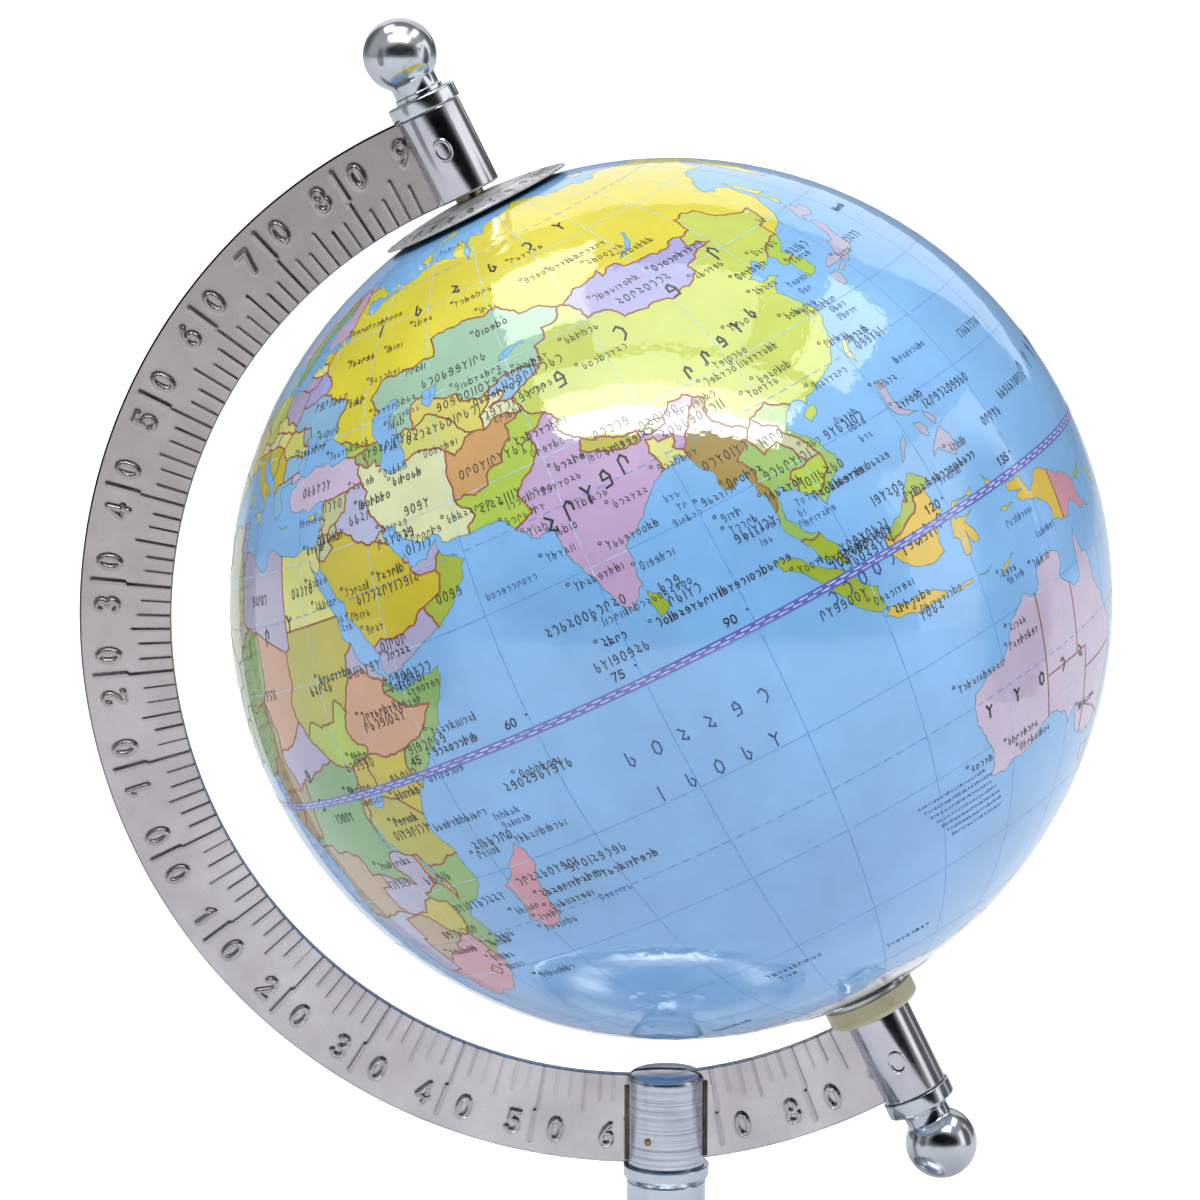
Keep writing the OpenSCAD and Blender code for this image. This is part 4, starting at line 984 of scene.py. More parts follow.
# Digits as strokes in a box 0.62 wide and 1 tall; each stroke is a run of points.
DIGITS = {
    "0": [oval(0.31, 0.5, 0.29, 0.5)],
    "1": [[(0.12, 0.78), (0.34, 1.0), (0.34, 0.0)]],
    "2": [oval(0.3, 0.72, 0.26, 0.27, 165, -35, 9) + [(0.06, 0.02), (0.6, 0.02)]],
    "3": [oval(0.28, 0.75, 0.26, 0.25, 150, -90, 9) + oval(0.28, 0.25, 0.3, 0.26, 90, -150, 9)],
    "4": [[(0.46, 0.0), (0.46, 1.0), (0.04, 0.3), (0.62, 0.3)]],
    "5": [[(0.56, 1.0), (0.12, 1.0), (0.1, 0.56)] + oval(0.28, 0.32, 0.3, 0.31, 105, -150, 9)],
    "6": [oval(0.31, 0.3, 0.28, 0.3), [(0.5, 1.0), (0.2, 0.72), (0.04, 0.36)]],
    "7": [[(0.04, 1.0), (0.6, 1.0), (0.22, 0.0)]],
    "8": [oval(0.31, 0.75, 0.23, 0.25), oval(0.31, 0.26, 0.29, 0.27)],
    "9": [oval(0.31, 0.7, 0.28, 0.3), [(0.58, 0.64), (0.42, 0.28), (0.14, 0.0)]],
}


def write_number(strokes, text, lon, lat, height, width):
    """Printed digits that start at a place and run east."""
    scale = math.degrees(height / strokes.radius)
    x = 0.0
    for digit in text:
        for run in DIGITS[digit]:
            wide = scale / math.cos(math.radians(lat))
            strokes.run([(lon + (x + px) * wide, lat + py * scale) for px, py in run], width)
        x += 0.85


# Marks that only look like small print, none of them a letter, in a box one wide and one high
MARKS = [[[float(v) for v in pair.split(",")] for pair in mark.split()] for mark in (
    "0.5,0 0.12,0.25 0.12,0.75 0.5,1 0.88,0.75 0.88,0.25 0.5,0", "0.12,0.85 0.5,1 0.88,0.7 0.88,0.3 0.5,0",
    "0.2,0 0.2,1", "0.15,0 0.15,0.8 0.5,1 0.85,0.75 0.85,0.45", "0.2,1 0.2,0.2 0.55,0 0.88,0.35 0.6,0.6",
    "0.5,0 0.5,0.6 0.1,1 0.5,0.6 0.9,0.85", "0.88,0.5 0.15,0.5 0.2,0.85 0.55,1 0.88,0.6 0.8,0.1 0.2,0.05",
    "0.15,1 0.75,0.7 0.2,0.3 0.85,0.1 0.85,0.3")]


def random_mark(strokes, rng, lon, lat, wide, high, width):
    mark = rng.choice(MARKS)
    strokes.run([(lon + x * wide, lat + y * high) for x, y in mark], width)
    return mark


def greeked(strokes, rng, lon, lat, count, height, pitch, width, capitals):
    """Print that can't be read: a row of marks like small letters, which runs east from a place."""
    scale = math.degrees(height / strokes.radius)
    step = math.degrees(pitch / strokes.radius) / math.cos(math.radians(lat))
    for k in range(count):
        body = scale * (1.0 if capitals or k == 0 else 0.68)
        mark = random_mark(strokes, rng, lon, lat, step * 0.66, body, width)
        if not capitals and k and rng.random() < 0.22:
            strokes.line((lon, lat), (lon, lat + scale), width)
        lon += step * (0.5 if len(mark) == 2 else 1.0)


def spread(strokes, rng, lon0, lat0, lon1, lat1, count, height, width):
    """A name in wide-spaced marks that can't be read."""
    scale = math.degrees(height / strokes.radius)
    for k in range(count):
        t = k / (count - 1)
        lat = lat0 + (lat1 - lat0) * t
        wide = 0.6 * scale / math.cos(math.radians(lat))
        random_mark(strokes, rng, lon0 + (lon1 - lon0) * t - wide / 2, lat, wide, scale, width)

# ---- the stamped arc ----

# The arc's own plane: u points away from its centre towards the belly, and turns clockwise to the north.
ARC_CENTRE = polar(-ARC_OFF, 0, -ARC_DROP)
# degrees between two neighbouring ten-marks, and the angle of the zero mark from the belly
MARK_STEP, MARK_ZERO = 10.5, -0.74
LAST_MARK = 90.5
# height of the figures, the radius that their middles stand on, and how far each stands from its mark
DIGIT_H, DIGIT_R, DIGIT_SHIFT = 3.0, ARC_RI + 9.3, 3.15
MM_PER_DEGREE = math.radians(1) * DIGIT_R
# stamped marks: where they begin and end above the inner edge, half width, height; then the figures and ticks
OUTER_MARK, INNER_MARK = (7.0, 11.6, 0.3, 0.15), (0.0, 6.6, 0.24, 0.13)
FIGURE_HALF, FIGURE_TALL = 0.34, 0.25
TICK_HALF, LONG_TICK, SHORT_TICK = 0.22, 5.9, 4.3
# the outer edge's painted dark reflection begins at this angle, and is black this many degrees further north
EDGE_SHADE_START, EDGE_FADE = -8.0, 48.0
# the sheet runs into the sleeves' walls: the sleeves' axis is ARC_OFF beyond the arc's centre
BAND_END = math.degrees(math.acos(-(ARC_OFF - SLEEVE_R + 0.4) / (ARC_RI + ARC_W / 2)))


def stamp_strokes():
    """Every stamped line as (x0, r0, x1, r1, half width, height), with x measured along radius DIGIT_R."""
    out = []

    def radial(angle, start, end, half, height, slip=0.0):
        x = angle * MM_PER_DEGREE + slip
        out.append((x, ARC_RI + start, x, ARC_RI + end, half, height))

    def digit(character, angle, shift, upright_text):
        # text runs north in the north half, with its top outwards, and the other way in the south half
        way = 1 if upright_text else -1
        for run in DIGITS[character]:
            at = [(angle * MM_PER_DEGREE + shift + way * (px - 0.31) * DIGIT_H * 0.92,
                   DIGIT_R + way * (py - 0.5) * DIGIT_H) for px, py in run]
            for (xa, ra), (xb, rb) in zip(at, at[1:]):
                out.append((xa, ra, xb, rb, FIGURE_HALF, FIGURE_TALL))

    rng = random.Random(5)
    for half in (1, -1):
        for ten in range(0 if half == 1 else 1, 9):
            angle = half * ten * MARK_STEP + MARK_ZERO
            radial(angle, *OUTER_MARK, slip=0.3)
            radial(angle, *INNER_MARK)
            outer = DIGIT_SHIFT * half
            digit("0", angle, outer, half == 1)
            digit(str(ten), angle, -outer, half == 1)
        for ten in range(0, 9):
            for tick in range(1, 6):
                angle = half * (ten + tick / 6) * MARK_STEP + MARK_ZERO
                if abs(angle) > LAST_MARK:
                    continue
                reach = (LONG_TICK if tick == 3 else SHORT_TICK) + rng.uniform(-0.4, 0.4)
                tall = rng.uniform(0.06, 0.11)
                radial(angle, 0.0, reach, TICK_HALF, tall, rng.uniform(-0.12, 0.12))
        angle = half * 9 * MARK_STEP + MARK_ZERO
        digit("9", angle, -(DIGIT_SHIFT + 0.2) * half, half == 1)
    return out


def relief(x, r):
    """Height of the stamping at many points, and its slope along x and r."""
    height = np.zeros(len(x))
    slope_x, slope_r = np.zeros(len(x)), np.zeros(len(x))
    for x0, r0, x1, r1, half, tall in stamp_strokes():
        reach = half * 3
        near = (x > min(x0, x1) - reach) & (x < max(x0, x1) + reach)
        near &= (r > min(r0, r1) - reach) & (r < max(r0, r1) + reach)
        px, pr = x[near], r[near]
        dx, dr = x1 - x0, r1 - r0
        t = np.clip(((px - x0) * dx + (pr - r0) * dr) / (dx * dx + dr * dr + 1e-9), 0, 1)
        ex, er = px - (x0 + t * dx), pr - (r0 + t * dr)
        bell = tall * np.exp(-(ex * ex + er * er) / (half * half))
        better = bell > height[near]
        idx = np.flatnonzero(near)[better]
        height[idx] = bell[better]
        slope_x[idx] = (-2 * ex / (half * half) * bell)[better]
        slope_r[idx] = (-2 * er / (half * half) * bell)[better]
    return height, slope_x, slope_r


def arc_band(material, edge_metal):
    """The sheet: a fine grid on each face, raised on the front and sunk on the back along the stampings."""
    cell, edge = 0.23, 0.3
    angles = np.linspace(-BAND_END, BAND_END, int(2 * BAND_END * MM_PER_DEGREE / cell))
    radii = np.concatenate([[ARC_RI], np.linspace(ARC_RI + edge, ARC_RO - edge, 40), [ARC_RO]])
    grid_a, grid_r = np.meshgrid(angles, radii, indexing="ij")
    flat_a, flat_r = grid_a.ravel(), grid_r.ravel()
    height, slope_x, slope_r = relief(flat_a * MM_PER_DEGREE, flat_r)
    # the edges are rounded over
    rolled = np.where((flat_r == ARC_RI) | (flat_r == ARC_RO), 0.22, 0.0)
    wave = 0.05 * np.sin(flat_a * 0.21) + 0.03 * np.sin(flat_a * 0.6 + flat_r * 0.3)
    a = np.radians(flat_a)
    out = np.outer(-np.cos(a), SIDE) + np.outer(np.sin(a), NORTH)
    along = np.outer(np.sin(a), SIDE) + np.outer(np.cos(a), NORTH)
    back = np.array(BACK)
    base = np.array(ARC_CENTRE) + out * flat_r[:, None]
    points, normals = [], []
    for side in (-1, 1):
        lift = side * (ARC_T / 2 - rolled) - height + wave * 0.4
        points.append(base + back * lift[:, None])
        tilt = np.where(flat_r == ARC_RI, -1.0, np.where(flat_r == ARC_RO, 1.0, 0.0))
        n = side * (back + along * slope_x[:, None] + out * slope_r[:, None]) + out * tilt[:, None]
        normals.append(n / np.linalg.norm(n, axis=1)[:, None])
    rows, cols = len(angles), len(radii)
    count = rows * cols
    at = np.arange(count).reshape(rows, cols)
    quads = np.stack([at[:-1, :-1], at[1:, :-1], at[1:, 1:], at[:-1, 1:]], -1).reshape(-1, 4)
    faces = quads.tolist() + (quads[:, ::-1] + count).tolist()
    for line in (at[::-1, 0], at[:, -1], at[0], at[-1, ::-1]):
        faces += [[int(v) for v in (p, q, q + count, p + count)] for p, q in zip(line, line[1:])]
    # the outer edge has its own metal, painted dark towards the north as a painted dark reflection
    slots = [1 if all(v % count % cols >= cols - 2 for v in face) else 0 for face in faces]
    corners = [Vector(p) for p in np.concatenate(points)]
    band = make_object("arc_band", corners, faces, "stand", [material, edge_metal], slots)
    fix_outside(band.data)
    band.data.normals_split_custom_set_from_vertices([tuple(n) for n in np.concatenate(normals)])
    # how steep the stamping is, for the painted shade along its flanks, and how dark the edge's painted dark
    # reflection is
    # painted shade: the steeper a stamped flank, the darker its colour
    flank_shade = np.clip(np.hypot(slope_x, slope_r) / 0.45, 0, 1)
    dark = np.clip((flat_a - EDGE_SHADE_START) / EDGE_FADE, 0, 1)
    for name, values in (("stamp_flank_shade", flank_shade), ("edge_dark", dark)):
        layer = band.data.attributes.new(name, "FLOAT", "POINT")
        layer.data.foreach_set("value", np.tile(values, 2).astype(np.float32))
    return band


def ring_profile(r_in, r_out, z0, z1, soft):
    return filleted([(r_in, z0, 0), (r_out, z0, soft), (r_out, z1, soft), (r_in, z1, 0)], 4)


def stamped_zero(place, z, material):
    """The raised 0 on a sleeve: an oval ridge wrapped on the front of the tube."""
    around, across = 28, 7
    half_wide, half_high, half_ridge = 1.1, 1.5, 0.34
    rise, buried, bottom = 0.2, 0.05, 0.3
    verts, faces = [], []

    def add(turn, ring, lift):
        x, dz = half_wide * ring * math.cos(turn), half_high * ring * math.sin(turn)
        a, r = x / SLEEVE_R, SLEEVE_R + lift
        verts.append(place(r * math.sin(a), -r * math.cos(a), z + dz))

    turns = [2 * math.pi * i / around for i in range(around)]
    for turn in turns:
        for j in range(across):
            s = j / (across - 1) * 2 - 1
            add(turn, 1.0 + s * half_ridge, rise * (math.cos(math.pi * s) + 1) / 2 - buried)
    # closed underneath, inside the tube's wall
    count = len(verts)
    for turn in turns:
        for ring in (1 - half_ridge, 1 + half_ridge):
            add(turn, ring, -bottom)
    for i in range(around):
        m = (i + 1) % around
        for j in range(across - 1):
            a, b = i * across + j, m * across + j
            faces.append([a, b, b + 1, a + 1])
        inner, outer = count + 2 * i, count + 2 * i + 1
        inner_m, outer_m = count + 2 * m, count + 2 * m + 1
        faces.append([inner, outer, outer_m, inner_m])
        faces.append([i * across, inner, inner_m, m * across])
        faces.append([outer, i * across + across - 1, m * across + across - 1, outer_m])
    ridge = make_object("sleeve_zero", verts, faces, "stand", [material])
    fix_outside(ridge.data)
    return ridge


def build_arc(material, sleeve_metal, edge_metal):
    parts = [arc_band(material, edge_metal)]
    for place, (z0, z1) in ((polar, SLEEVE_N), (south, SLEEVE_S)):
        outline = ring_profile(SLEEVE_RI, SLEEVE_R, z0, z1, 0.35)
        parts.append(lathe("sleeve", outline, place, "stand", sleeve_metal, 96))
        parts.append(stamped_zero(place, (z0 + z1) / 2 + 0.6, sleeve_metal))
    arc = join("meridian_arc_stamped", parts)
    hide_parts("meridian_arc")

# ---- printed names, all of them unreadable ----

# kind, then its places: longitude, latitude and number of marks
NAMES = """
country: 58.5,46.6,10 97,44.6,8 52.5,30.6,4 62.5,32,11 64,26.8,8 82.6,29,5 30.5,38.2,6 42,32.2,4
 41.5,22.3,12 54.2,18.6,4 43.6,15.8,5 27.5,25.8,5 14.5,26.2,5 28,13.4,5 15,14.2,4 36.5,7.2,8 42,2.8,7 37,0,5
 32.2,-7,8 46,-18,10 54,-18.6,9 43.6,-11.4,7 52.6,-5.8,10 70.2,3.2,8 81.5,8.6,3 81.8,6.6,5 66.5,9.4,11
 99.6,14.6,8 109.6,15.4,7 103.4,11.6,8 93.4,19.2,7 101.5,18.4,4 103.6,2.6,8 102.4,0.6,9 97.5,-3.4,7
 112,-1.2,6 109.6,-9.6,4 110.4,5.6,6 125.4,12.4,11 122.6,23,6 140.5,35.5,5 128,38.4,5 133,6.6,5 139.5,8,10
 141,17,8 90.8,25.2,10 88.8,27.4,6 61,42.2,10 54.6,39.6,12 73,41,10 68,38.2,10 45.6,40.2,10 36,35.2,5
 34.6,31.2,6 47,27.9,6 29.8,3,6 22,-3,5 24,-13.4,6 32,-14,6 33,-19,10 25.8,-22.6,8 29,50,7 36.8,14,7
 42.4,11.6,8 51.6,25.8,5 92.4,9.6,7
capital: 37,55.2,6 71,50.6,6 74,42.4,7 67.6,40.6,8 51.2,35,6 44.2,33.8,7 45.8,24.2,6 44,14.6,5 43,10.8,8
 36.6,8.6,10 45.6,1.6,9 36.4,-2,7 33.6,-5.2,6 48,-20.6,12 72,33,9 76,27.6,5 83,26.6,9 79.4,5,24 116.4,39.2,7
 106.6,46.8,10 95,16,6 98.5,12.4,7 106.6,-7.2,7 121.4,14,6 121.8,24.4,6 101.2,2.2,12 72.4,5.6,4 57.6,-21,10
 30.6,14.6,8 103.9,9.8,10 104,1.8,9 32,30.6,5 35.8,31.2,5 114.8,4.2,18 32.6,-25.4,6 40.6,48.6,4 26.4,44,8
 31.8,4.2,4 28,0.2,7
city: 49,55,5 56,57.4,4 45.6,50.8,7 47.4,45.6,9 51,42.8,5 55,49.6,5 65,44,9 76.4,42.6,6 76,38.6,5 86,38.4,8
 85.6,43,6 49.6,36.6,5 48,29.6,6 39.6,23.8,6 39.8,20.6,5 42,18.4,4 45.4,11.4,4 45.4,9.6,7 46.6,4,11
 43,-1.2,8 39.6,-7.4,12 43.4,8.4,5 49.8,-12.4,11 47.8,-22.8,10 44.4,-25.6,7 67,24,7 69.4,21.6,4 68,25.8,9
 73.6,30.6,6 73,25.6,7 80.6,26.8,7 88.2,21.6,7 76.6,22.2,6 72.6,20.2,5 70.4,17.8,6 81,20.2,6 78,16,9
 72.2,13.2,9 80.6,12,7 73.5,8,18 98,53.2,7 90.8,55.4,11 84.6,55.6,5 73,54.2,4 67.4,57.6,7 104,51.6,7
 91,15.4,7 84,60.8,6 104,24.6,6 106.6,25.6,7 105.6,28.6,9 102.6,30,7 108.4,33.4,4 116.4,36,5 117,31,7
 118.6,25.2,6 112.5,21.4,8 106.6,15.6,3 100,28.6,6 97.6,2.8,5 110,-8.8,10 104.6,-5,9 125,6.2,5 120.6,17.4,5
 111.6,-20.6,12 111.2,-32,5 122.6,-17.2,5 121.8,-19.4,8 130.4,-12,6 92.2,12.6,4 92.4,11,5 55.4,-4.8,8
 43.4,-12.6,6 106.4,9.8,14 31,61,13 32,26.4,5 33,23.4,6 42.4,-21.8,6 45,-23.8,5 30.4,-28,6 31,-30,6 35,-33,8
 120,30,8 123,41,6 127,37.2,5 135,34.4,5 119,-31.6,8 121.6,-33.4,9 139,-34.4,8 124,-10.6,4 30,-1.6,6
 25,-10.4,9 33,45.6,6 37,42,10 50,39.8,4 43,36.6,5 23,-25.6,8 35.6,-24.6,4 94,47,9 111,42.4,6 70,37,6
 57.4,36.8,7 59,27.4,8 52.8,27,6 94,27,8
sea: 61,16.6,10 87,18,3 88,16.4,2 86.6,14.8,6 93.6,9.4,7 95,8,3 112,16.4,5 113,14.8,5 113.6,13,3
 101.4,10.2,4 101,8.9,2 100.4,7.6,8 126,19,10 128,-5.6,9 124.6,-11.8,5 120.6,3.6,7 133,-9,7 122,34.6,6
 122.6,33,3 124,28.8,4 124,27.4,5 50,28.4,4 37,21,3 37.6,19.8,3 51,43.8,7 51.6,41,3 66.4,-49.4,12 68,-51,4
 49,-8.6,6 49.4,-10,7 55,-24,7 90.6,-56,9 40,-60,9 132,45,3 150,40,7 60,71.4,7 30,34.4,8
"""
# large marks spaced out across a country or a sea: from, to, number of marks and their height
SPREAD = """
land: 72.6,20.6,84.6,23.6,5,2.6 99,30.6,113,33.6,5,1.8 46,58.6,101,62.6,6,2.1 82,37.6,118,43.6,4,2.6
 116,-26,139,-27,5,1.9 20,-1,20,3,2,1.8 12,20,26,22,3,2.2
sea: 69,-9,87,-9,6,2.1 70.6,-14.6,86,-14.6,5,2.1 100,-2.4,118,-0.8,9,1.9 150,8,178,10,7,2.6
 -30,10,-20,-20,6,2.4
"""
# height, pitch and stroke width of each kind, in millimetres
STYLE = {"country": (1.35, 1.1, 0.13), "capital": (1.3, 0.92, 0.15), "city": (1.25, 0.86, 0.095),
         "sea": (1.1, 0.8, 0.08)}
SPREAD_WIDTH = {"land": 0.3, "sea": 0.2}


def printed_names(ink, ink_sea):
    rng = random.Random(23)
    land, sea = Strokes(0.03), Strokes(0.03)
    for kind, places in read_lines(NAMES).items():
        height, pitch, width = STYLE[kind]
        target = sea if kind == "sea" else land
        for lon, lat, count in places:
            greeked(target, rng, lon, lat, int(count), height, pitch, width, kind == "country")
            # a town has a small ring, up and to the left of its name
            if kind in ("city", "capital"):
                target.ring(lon - 0.7, lat + 1.2, 0.22, 0.09)
    for kind, words in read_lines(SPREAD).items():
        for lon0, lat0, lon1, lat1, count, height in words:
            target = sea if kind == "sea" else land
            spread(target, rng, lon0, lat0, lon1, lat1, int(count), height, SPREAD_WIDTH[kind])
    # figures and dots along the equator
    for degrees in range(45, 136, 15):
        write_number(land, str(degrees), degrees - 3.4, 1.4, 1.15, 0.17)
        land.dot(degrees - 0.2, 2.2, 0.17)
    # a block of very small print in the southern ocean
    for row in range(7):
        lon, lat = 101 + row * 0.9, -33 - row * 1.15
        greeked(sea, rng, lon, lat, 24 - row, 0.55, 0.56, 0.045, False)
    land.finish("map_names_land", ink)
    sea.finish("map_names_sea", ink_sea)

# ---- turned and spun parts ----

ROD_BORE, SCREW_DEPTH, FIT_GAP = 1.62, 4.5, 0.02


def turned(name, node, outline, place, material, segments=144, sharp=30):
    piece = lathe(name, outline, place, "stand", material, segments, sharp)
    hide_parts(node)
    return piece


def ball_outline(z0, z_ball):
    """A ball on a waisted neck with a short foot, from the foot up to the ball's top, closed on the axis."""
    ball_r, neck_r, foot_r = 5.25, 3.35, 3.6
    meet = math.asin(neck_r / ball_r)
    neck_top = z_ball - ball_r * math.cos(meet)
    outline = [(0, z0), (foot_r - 0.1, z0), (foot_r, z0 + 0.1), (foot_r, z0 + 0.6), (foot_r - 0.12, z0 + 0.7)]
    outline += [(neck_r, z0 + 0.78), (neck_r, neck_top - 0.15)]
    outline += arc_pts(0, z_ball, ball_r, math.degrees(meet) - 90 + 2.5, 90, 40)[:-1]
    return outline + [(0, z_ball + ball_r)]


def build_finials(chrome, ring_metal):
    plug_r, ring_r = SLEEVE_RI - FIT_GAP, 5.15
    for word, place, z_sleeve, z_ring, z_ball in (
        ("top", polar, SLEEVE_N[1], 80.75, 87.2), ("bottom", south, SLEEVE_S[1], 83.3, 89.6)):
        outline = filleted([(ROD_BORE, z_sleeve - SCREW_DEPTH, 0), (plug_r, z_sleeve - SCREW_DEPTH, 0),
                            (plug_r, z_sleeve, 0), (ring_r, z_sleeve, 0.22), (ring_r, z_ring, 0.4),
                            (ROD_BORE, z_ring, 0)])
        turned(word + "_ring", word + "_cap_ring", outline, place, ring_metal)
        outline = ball_outline(z_ring, z_ball)
        turned(word + "_ball", word + "_ball_nut", outline, place, chrome)


def build_column(chrome, steel, ferrule_metal, brass_dot):
    z0, z1 = FERRULE_Z
    bore = 4.52
    body = filleted([(0, BASE_TOP, 0), (COLUMN_R, BASE_TOP, 0.2), (COLUMN_R, z0, 0.3), (0, z0, 0)])
    turned("column_tube", "column_rod", body, upright, chrome)
    ring = filleted([(bore, z0, 0), (FERRULE_R - 0.5, z0, 0.15), (FERRULE_R, z0 + 0.8, 0.3),
                     (FERRULE_R, z1, 0.25), (bore, z1, 0)])
    turned("ferrule", "column_ferrule", ring, upright, ferrule_metal)
    build_head(steel)
    build_rivet(brass_dot)


def build_rivet(metal_used):
    """The rivet across the head that holds the arc, with a low dome at each end."""
    x, z, reach = -2.4, 60.41, 5.34
    dome = [(0.56, reach - 0.1), (0.3, reach + 0.1), (0, reach + 0.12)]
    outline = [(r, -along) for r, along in reversed(dome)] + dome

    def across(a, b, along):
        return Vector((x + a, along, z + b))

    turned("cross_rivet", "arc_rivet", outline, across, metal_used, 48)


def build_head(steel):
    """The slotted head: a turned, slightly domed post with fine tool marks, sawn through for the arc."""
    half_slot, steps, rows, crown_rows = 0.68, 64, 46, 5
    seat = FERRULE_Z[1]
    foot, side_low, side_high = seat + 0.02, seat + 0.25, HEAD_TOP - 1.65
    foot_r, side_r = HEAD_R - 0.2, HEAD_R - 0.06
    verts, faces = [], []

    def half_ring(r, z, sign):
        """Adds the points round one half of the head, from slot wall to slot wall."""
        start = math.asin(min(0.999, half_slot / max(r, half_slot * 1.02)))
        first = len(verts)
        for k in range(steps + 1):
            a = start + (math.pi - 2 * start) * k / steps
            verts.append(Vector((r * math.cos(a), sign * max(r * math.sin(a), half_slot), z)))
        return list(range(first, len(verts)))

    outline = [(foot_r, foot), (side_r, side_low)]
    # every second row is a shallow groove
    row = (side_high - side_low) / rows
    outline += [(side_r - 0.02 * (i % 2), side_low + row * i) for i in range(1, rows)]
    outline += arc_pts(HEAD_R - 1.46, side_high, 1.4, 0, 80, 8)
    # the low crown, in rings that shrink towards the middle
    crown_r, crown_z = outline[-1]
    for i in range(1, crown_rows):
        part = 1 - i / crown_rows
        outline.append((crown_r * part, HEAD_TOP - (HEAD_TOP - crown_z) * part ** 2))
    # each half of the head is a closed solid: its round side, its flat slot wall, its top and its foot
    for sign in (-1, 1):
        rings = [half_ring(r, z, sign) for r, z in outline]
        for low, high in zip(rings, rings[1:]):
            faces += [[low[k], low[k + 1], high[k + 1], high[k]] for k in range(steps)]
            faces.append([low[0], high[0], high[-1], low[-1]])
        faces += [rings[-1], rings[0]]
    head = make_object("head_cheeks", verts, faces, "stand", [steel])
    head.data.validate()
    work = bmesh.new()
    work.from_mesh(head.data)
    bmesh.ops.remove_doubles(work, verts=work.verts, dist=1e-7)
    bmesh.ops.recalc_face_normals(work, faces=work.faces)
    work.to_mesh(head.data)
    work.free()
    head.data.polygons.foreach_set("use_smooth", [True] * len(head.data.polygons))
    head.data.set_sharp_from_angle(angle=math.radians(35))
    spigot_r, spigot_end = 4.5, seat - 14
    spigot = lathe("spigot", [(0, spigot_end), (spigot_r, spigot_end), (spigot_r, seat), (foot_r, seat),
                              (foot_r, foot), (0, foot)], upright, "stand", steel, 96)
    head = join("slotted_head", [head, spigot])
    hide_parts("column_head")


def dome_outline(inset):
    """The spun base from its rim bead over the shoulder and the low dome to the boss, moved in by inset."""
    bead, bead_z, steps = 1.6, 2.4, 30
    shoulder_r, shoulder_z = 46.0, bead_z + 3.2
    boss_r, dome_z = 9.0, 12.8
    outline = arc_pts(BASE_R - bead, bead_z, bead - inset, 0, 90, 10)
    outline += [(shoulder_r + 0.8, bead_z + bead - inset), (shoulder_r - inset, shoulder_z - inset * 0.6)]
    for i in range(1, steps + 1):
        a = math.pi / 2 * i / steps
        outline.append((shoulder_r - (shoulder_r - boss_r - 2) * (1 - math.cos(a)) - inset * math.cos(a),
                        shoulder_z + (dome_z - shoulder_z) * math.sin(a) - inset))
    outline += [(boss_r - inset, dome_z + 0.8 - inset), (boss_r - inset, BASE_TOP - 0.7 - inset)]
    return outline + [(boss_r - 0.7 - inset, BASE_TOP - inset)]


def build_base(chrome):
    thick, screw_r, lip = 0.9, 3.1, BASE_R - 2.5
    outline = [(lip, 1.7), (BASE_R - 0.5, 1.7)] + dome_outline(0)
    outline += [(screw_r, BASE_TOP), (screw_r, BASE_TOP - thick)] + dome_outline(thick)[::-1] + [(lip, 2.4)]
    turned("base_spinning", "base_dome", outline, upright, chrome, 192, 40)


# ---- pole fittings ----

DIAL_R, DIAL_GAP, DIAL_T, AXLE_BORE = 14.2, 0.8, 0.4, 1.66
# on the dial: radius of the dots, of the figures' foot and middle, and of the circle, and the figures' height
DOTS_R, FIGURES_R, FIGURES_MID_R, CIRCLE_R, FIGURE_H = 13.3, 12.5, 11.6, 9.2, 1.5


def on_sphere(sphere_r, r):
    """A point of a lathe outline at radius r, on a sphere about the globe's centre."""
    return r, math.sqrt(sphere_r * sphere_r - r * r)


def build_dial(metal_top, dark, ink):
    """The domed hour dial: a thin rimmed disc that turns on the axle, printed round its edge."""
    low, high = GLOBE_R + DIAL_GAP, GLOBE_R + DIAL_GAP + DIAL_T
    steps = 24
    radii = [AXLE_BORE + (DIAL_R - 0.2 - AXLE_BORE) * i / steps for i in range(steps + 1)]
    rim_z = (on_sphere(high, DIAL_R)[1] + on_sphere(low, DIAL_R)[1]) / 2
    rim_r, rim_half = DIAL_R - 0.03, 0.1
    outline = [on_sphere(high, r) for r in radii] + [(rim_r, rim_z + rim_half), (rim_r, rim_z - rim_half)]
    outline += [on_sphere(low, r) for r in reversed(radii)]
    dial = lathe("dial_disc", outline, polar, "dial", metal_top)
    # the underside, facing the globe, is near black: painted shade for the dark gap under the dial, partly
    # the underside's own dark colour
    dial.data.materials.append(dark)
    for face in dial.data.polygons:
        out = Vector(face.center) / MM - CENTRE
        if face.normal.dot(out) < -0.5 * out.length:
            face.material_index = 1
    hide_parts("hour_dial")
    strokes = Strokes(0.02, 0.03, high)

    def latitude(r):
        return 90 - math.degrees(math.asin(r / high))

    for hour in range(24):
        lon = hour * 15 + 4
        for half in (0, 7.5):
            strokes.dot(lon + half, latitude(DOTS_R), 0.2 if half else 0.28)
        text = str(hour % 12 + 1)
        middle = math.cos(math.radians(latitude(FIGURES_MID_R)))
        lean = math.degrees(FIGURE_H / high) * 0.4 * len(text) / middle
        write_number(strokes, text, lon - lean, latitude(FIGURES_R), FIGURE_H, 0.3)
    for lon in range(0, 360, 3):
        strokes.line((lon, latitude(CIRCLE_R)), (lon + 3, latitude(CIRCLE_R)), 0.16)
    strokes.finish("dial_numerals", ink, "dial", "dial_print")


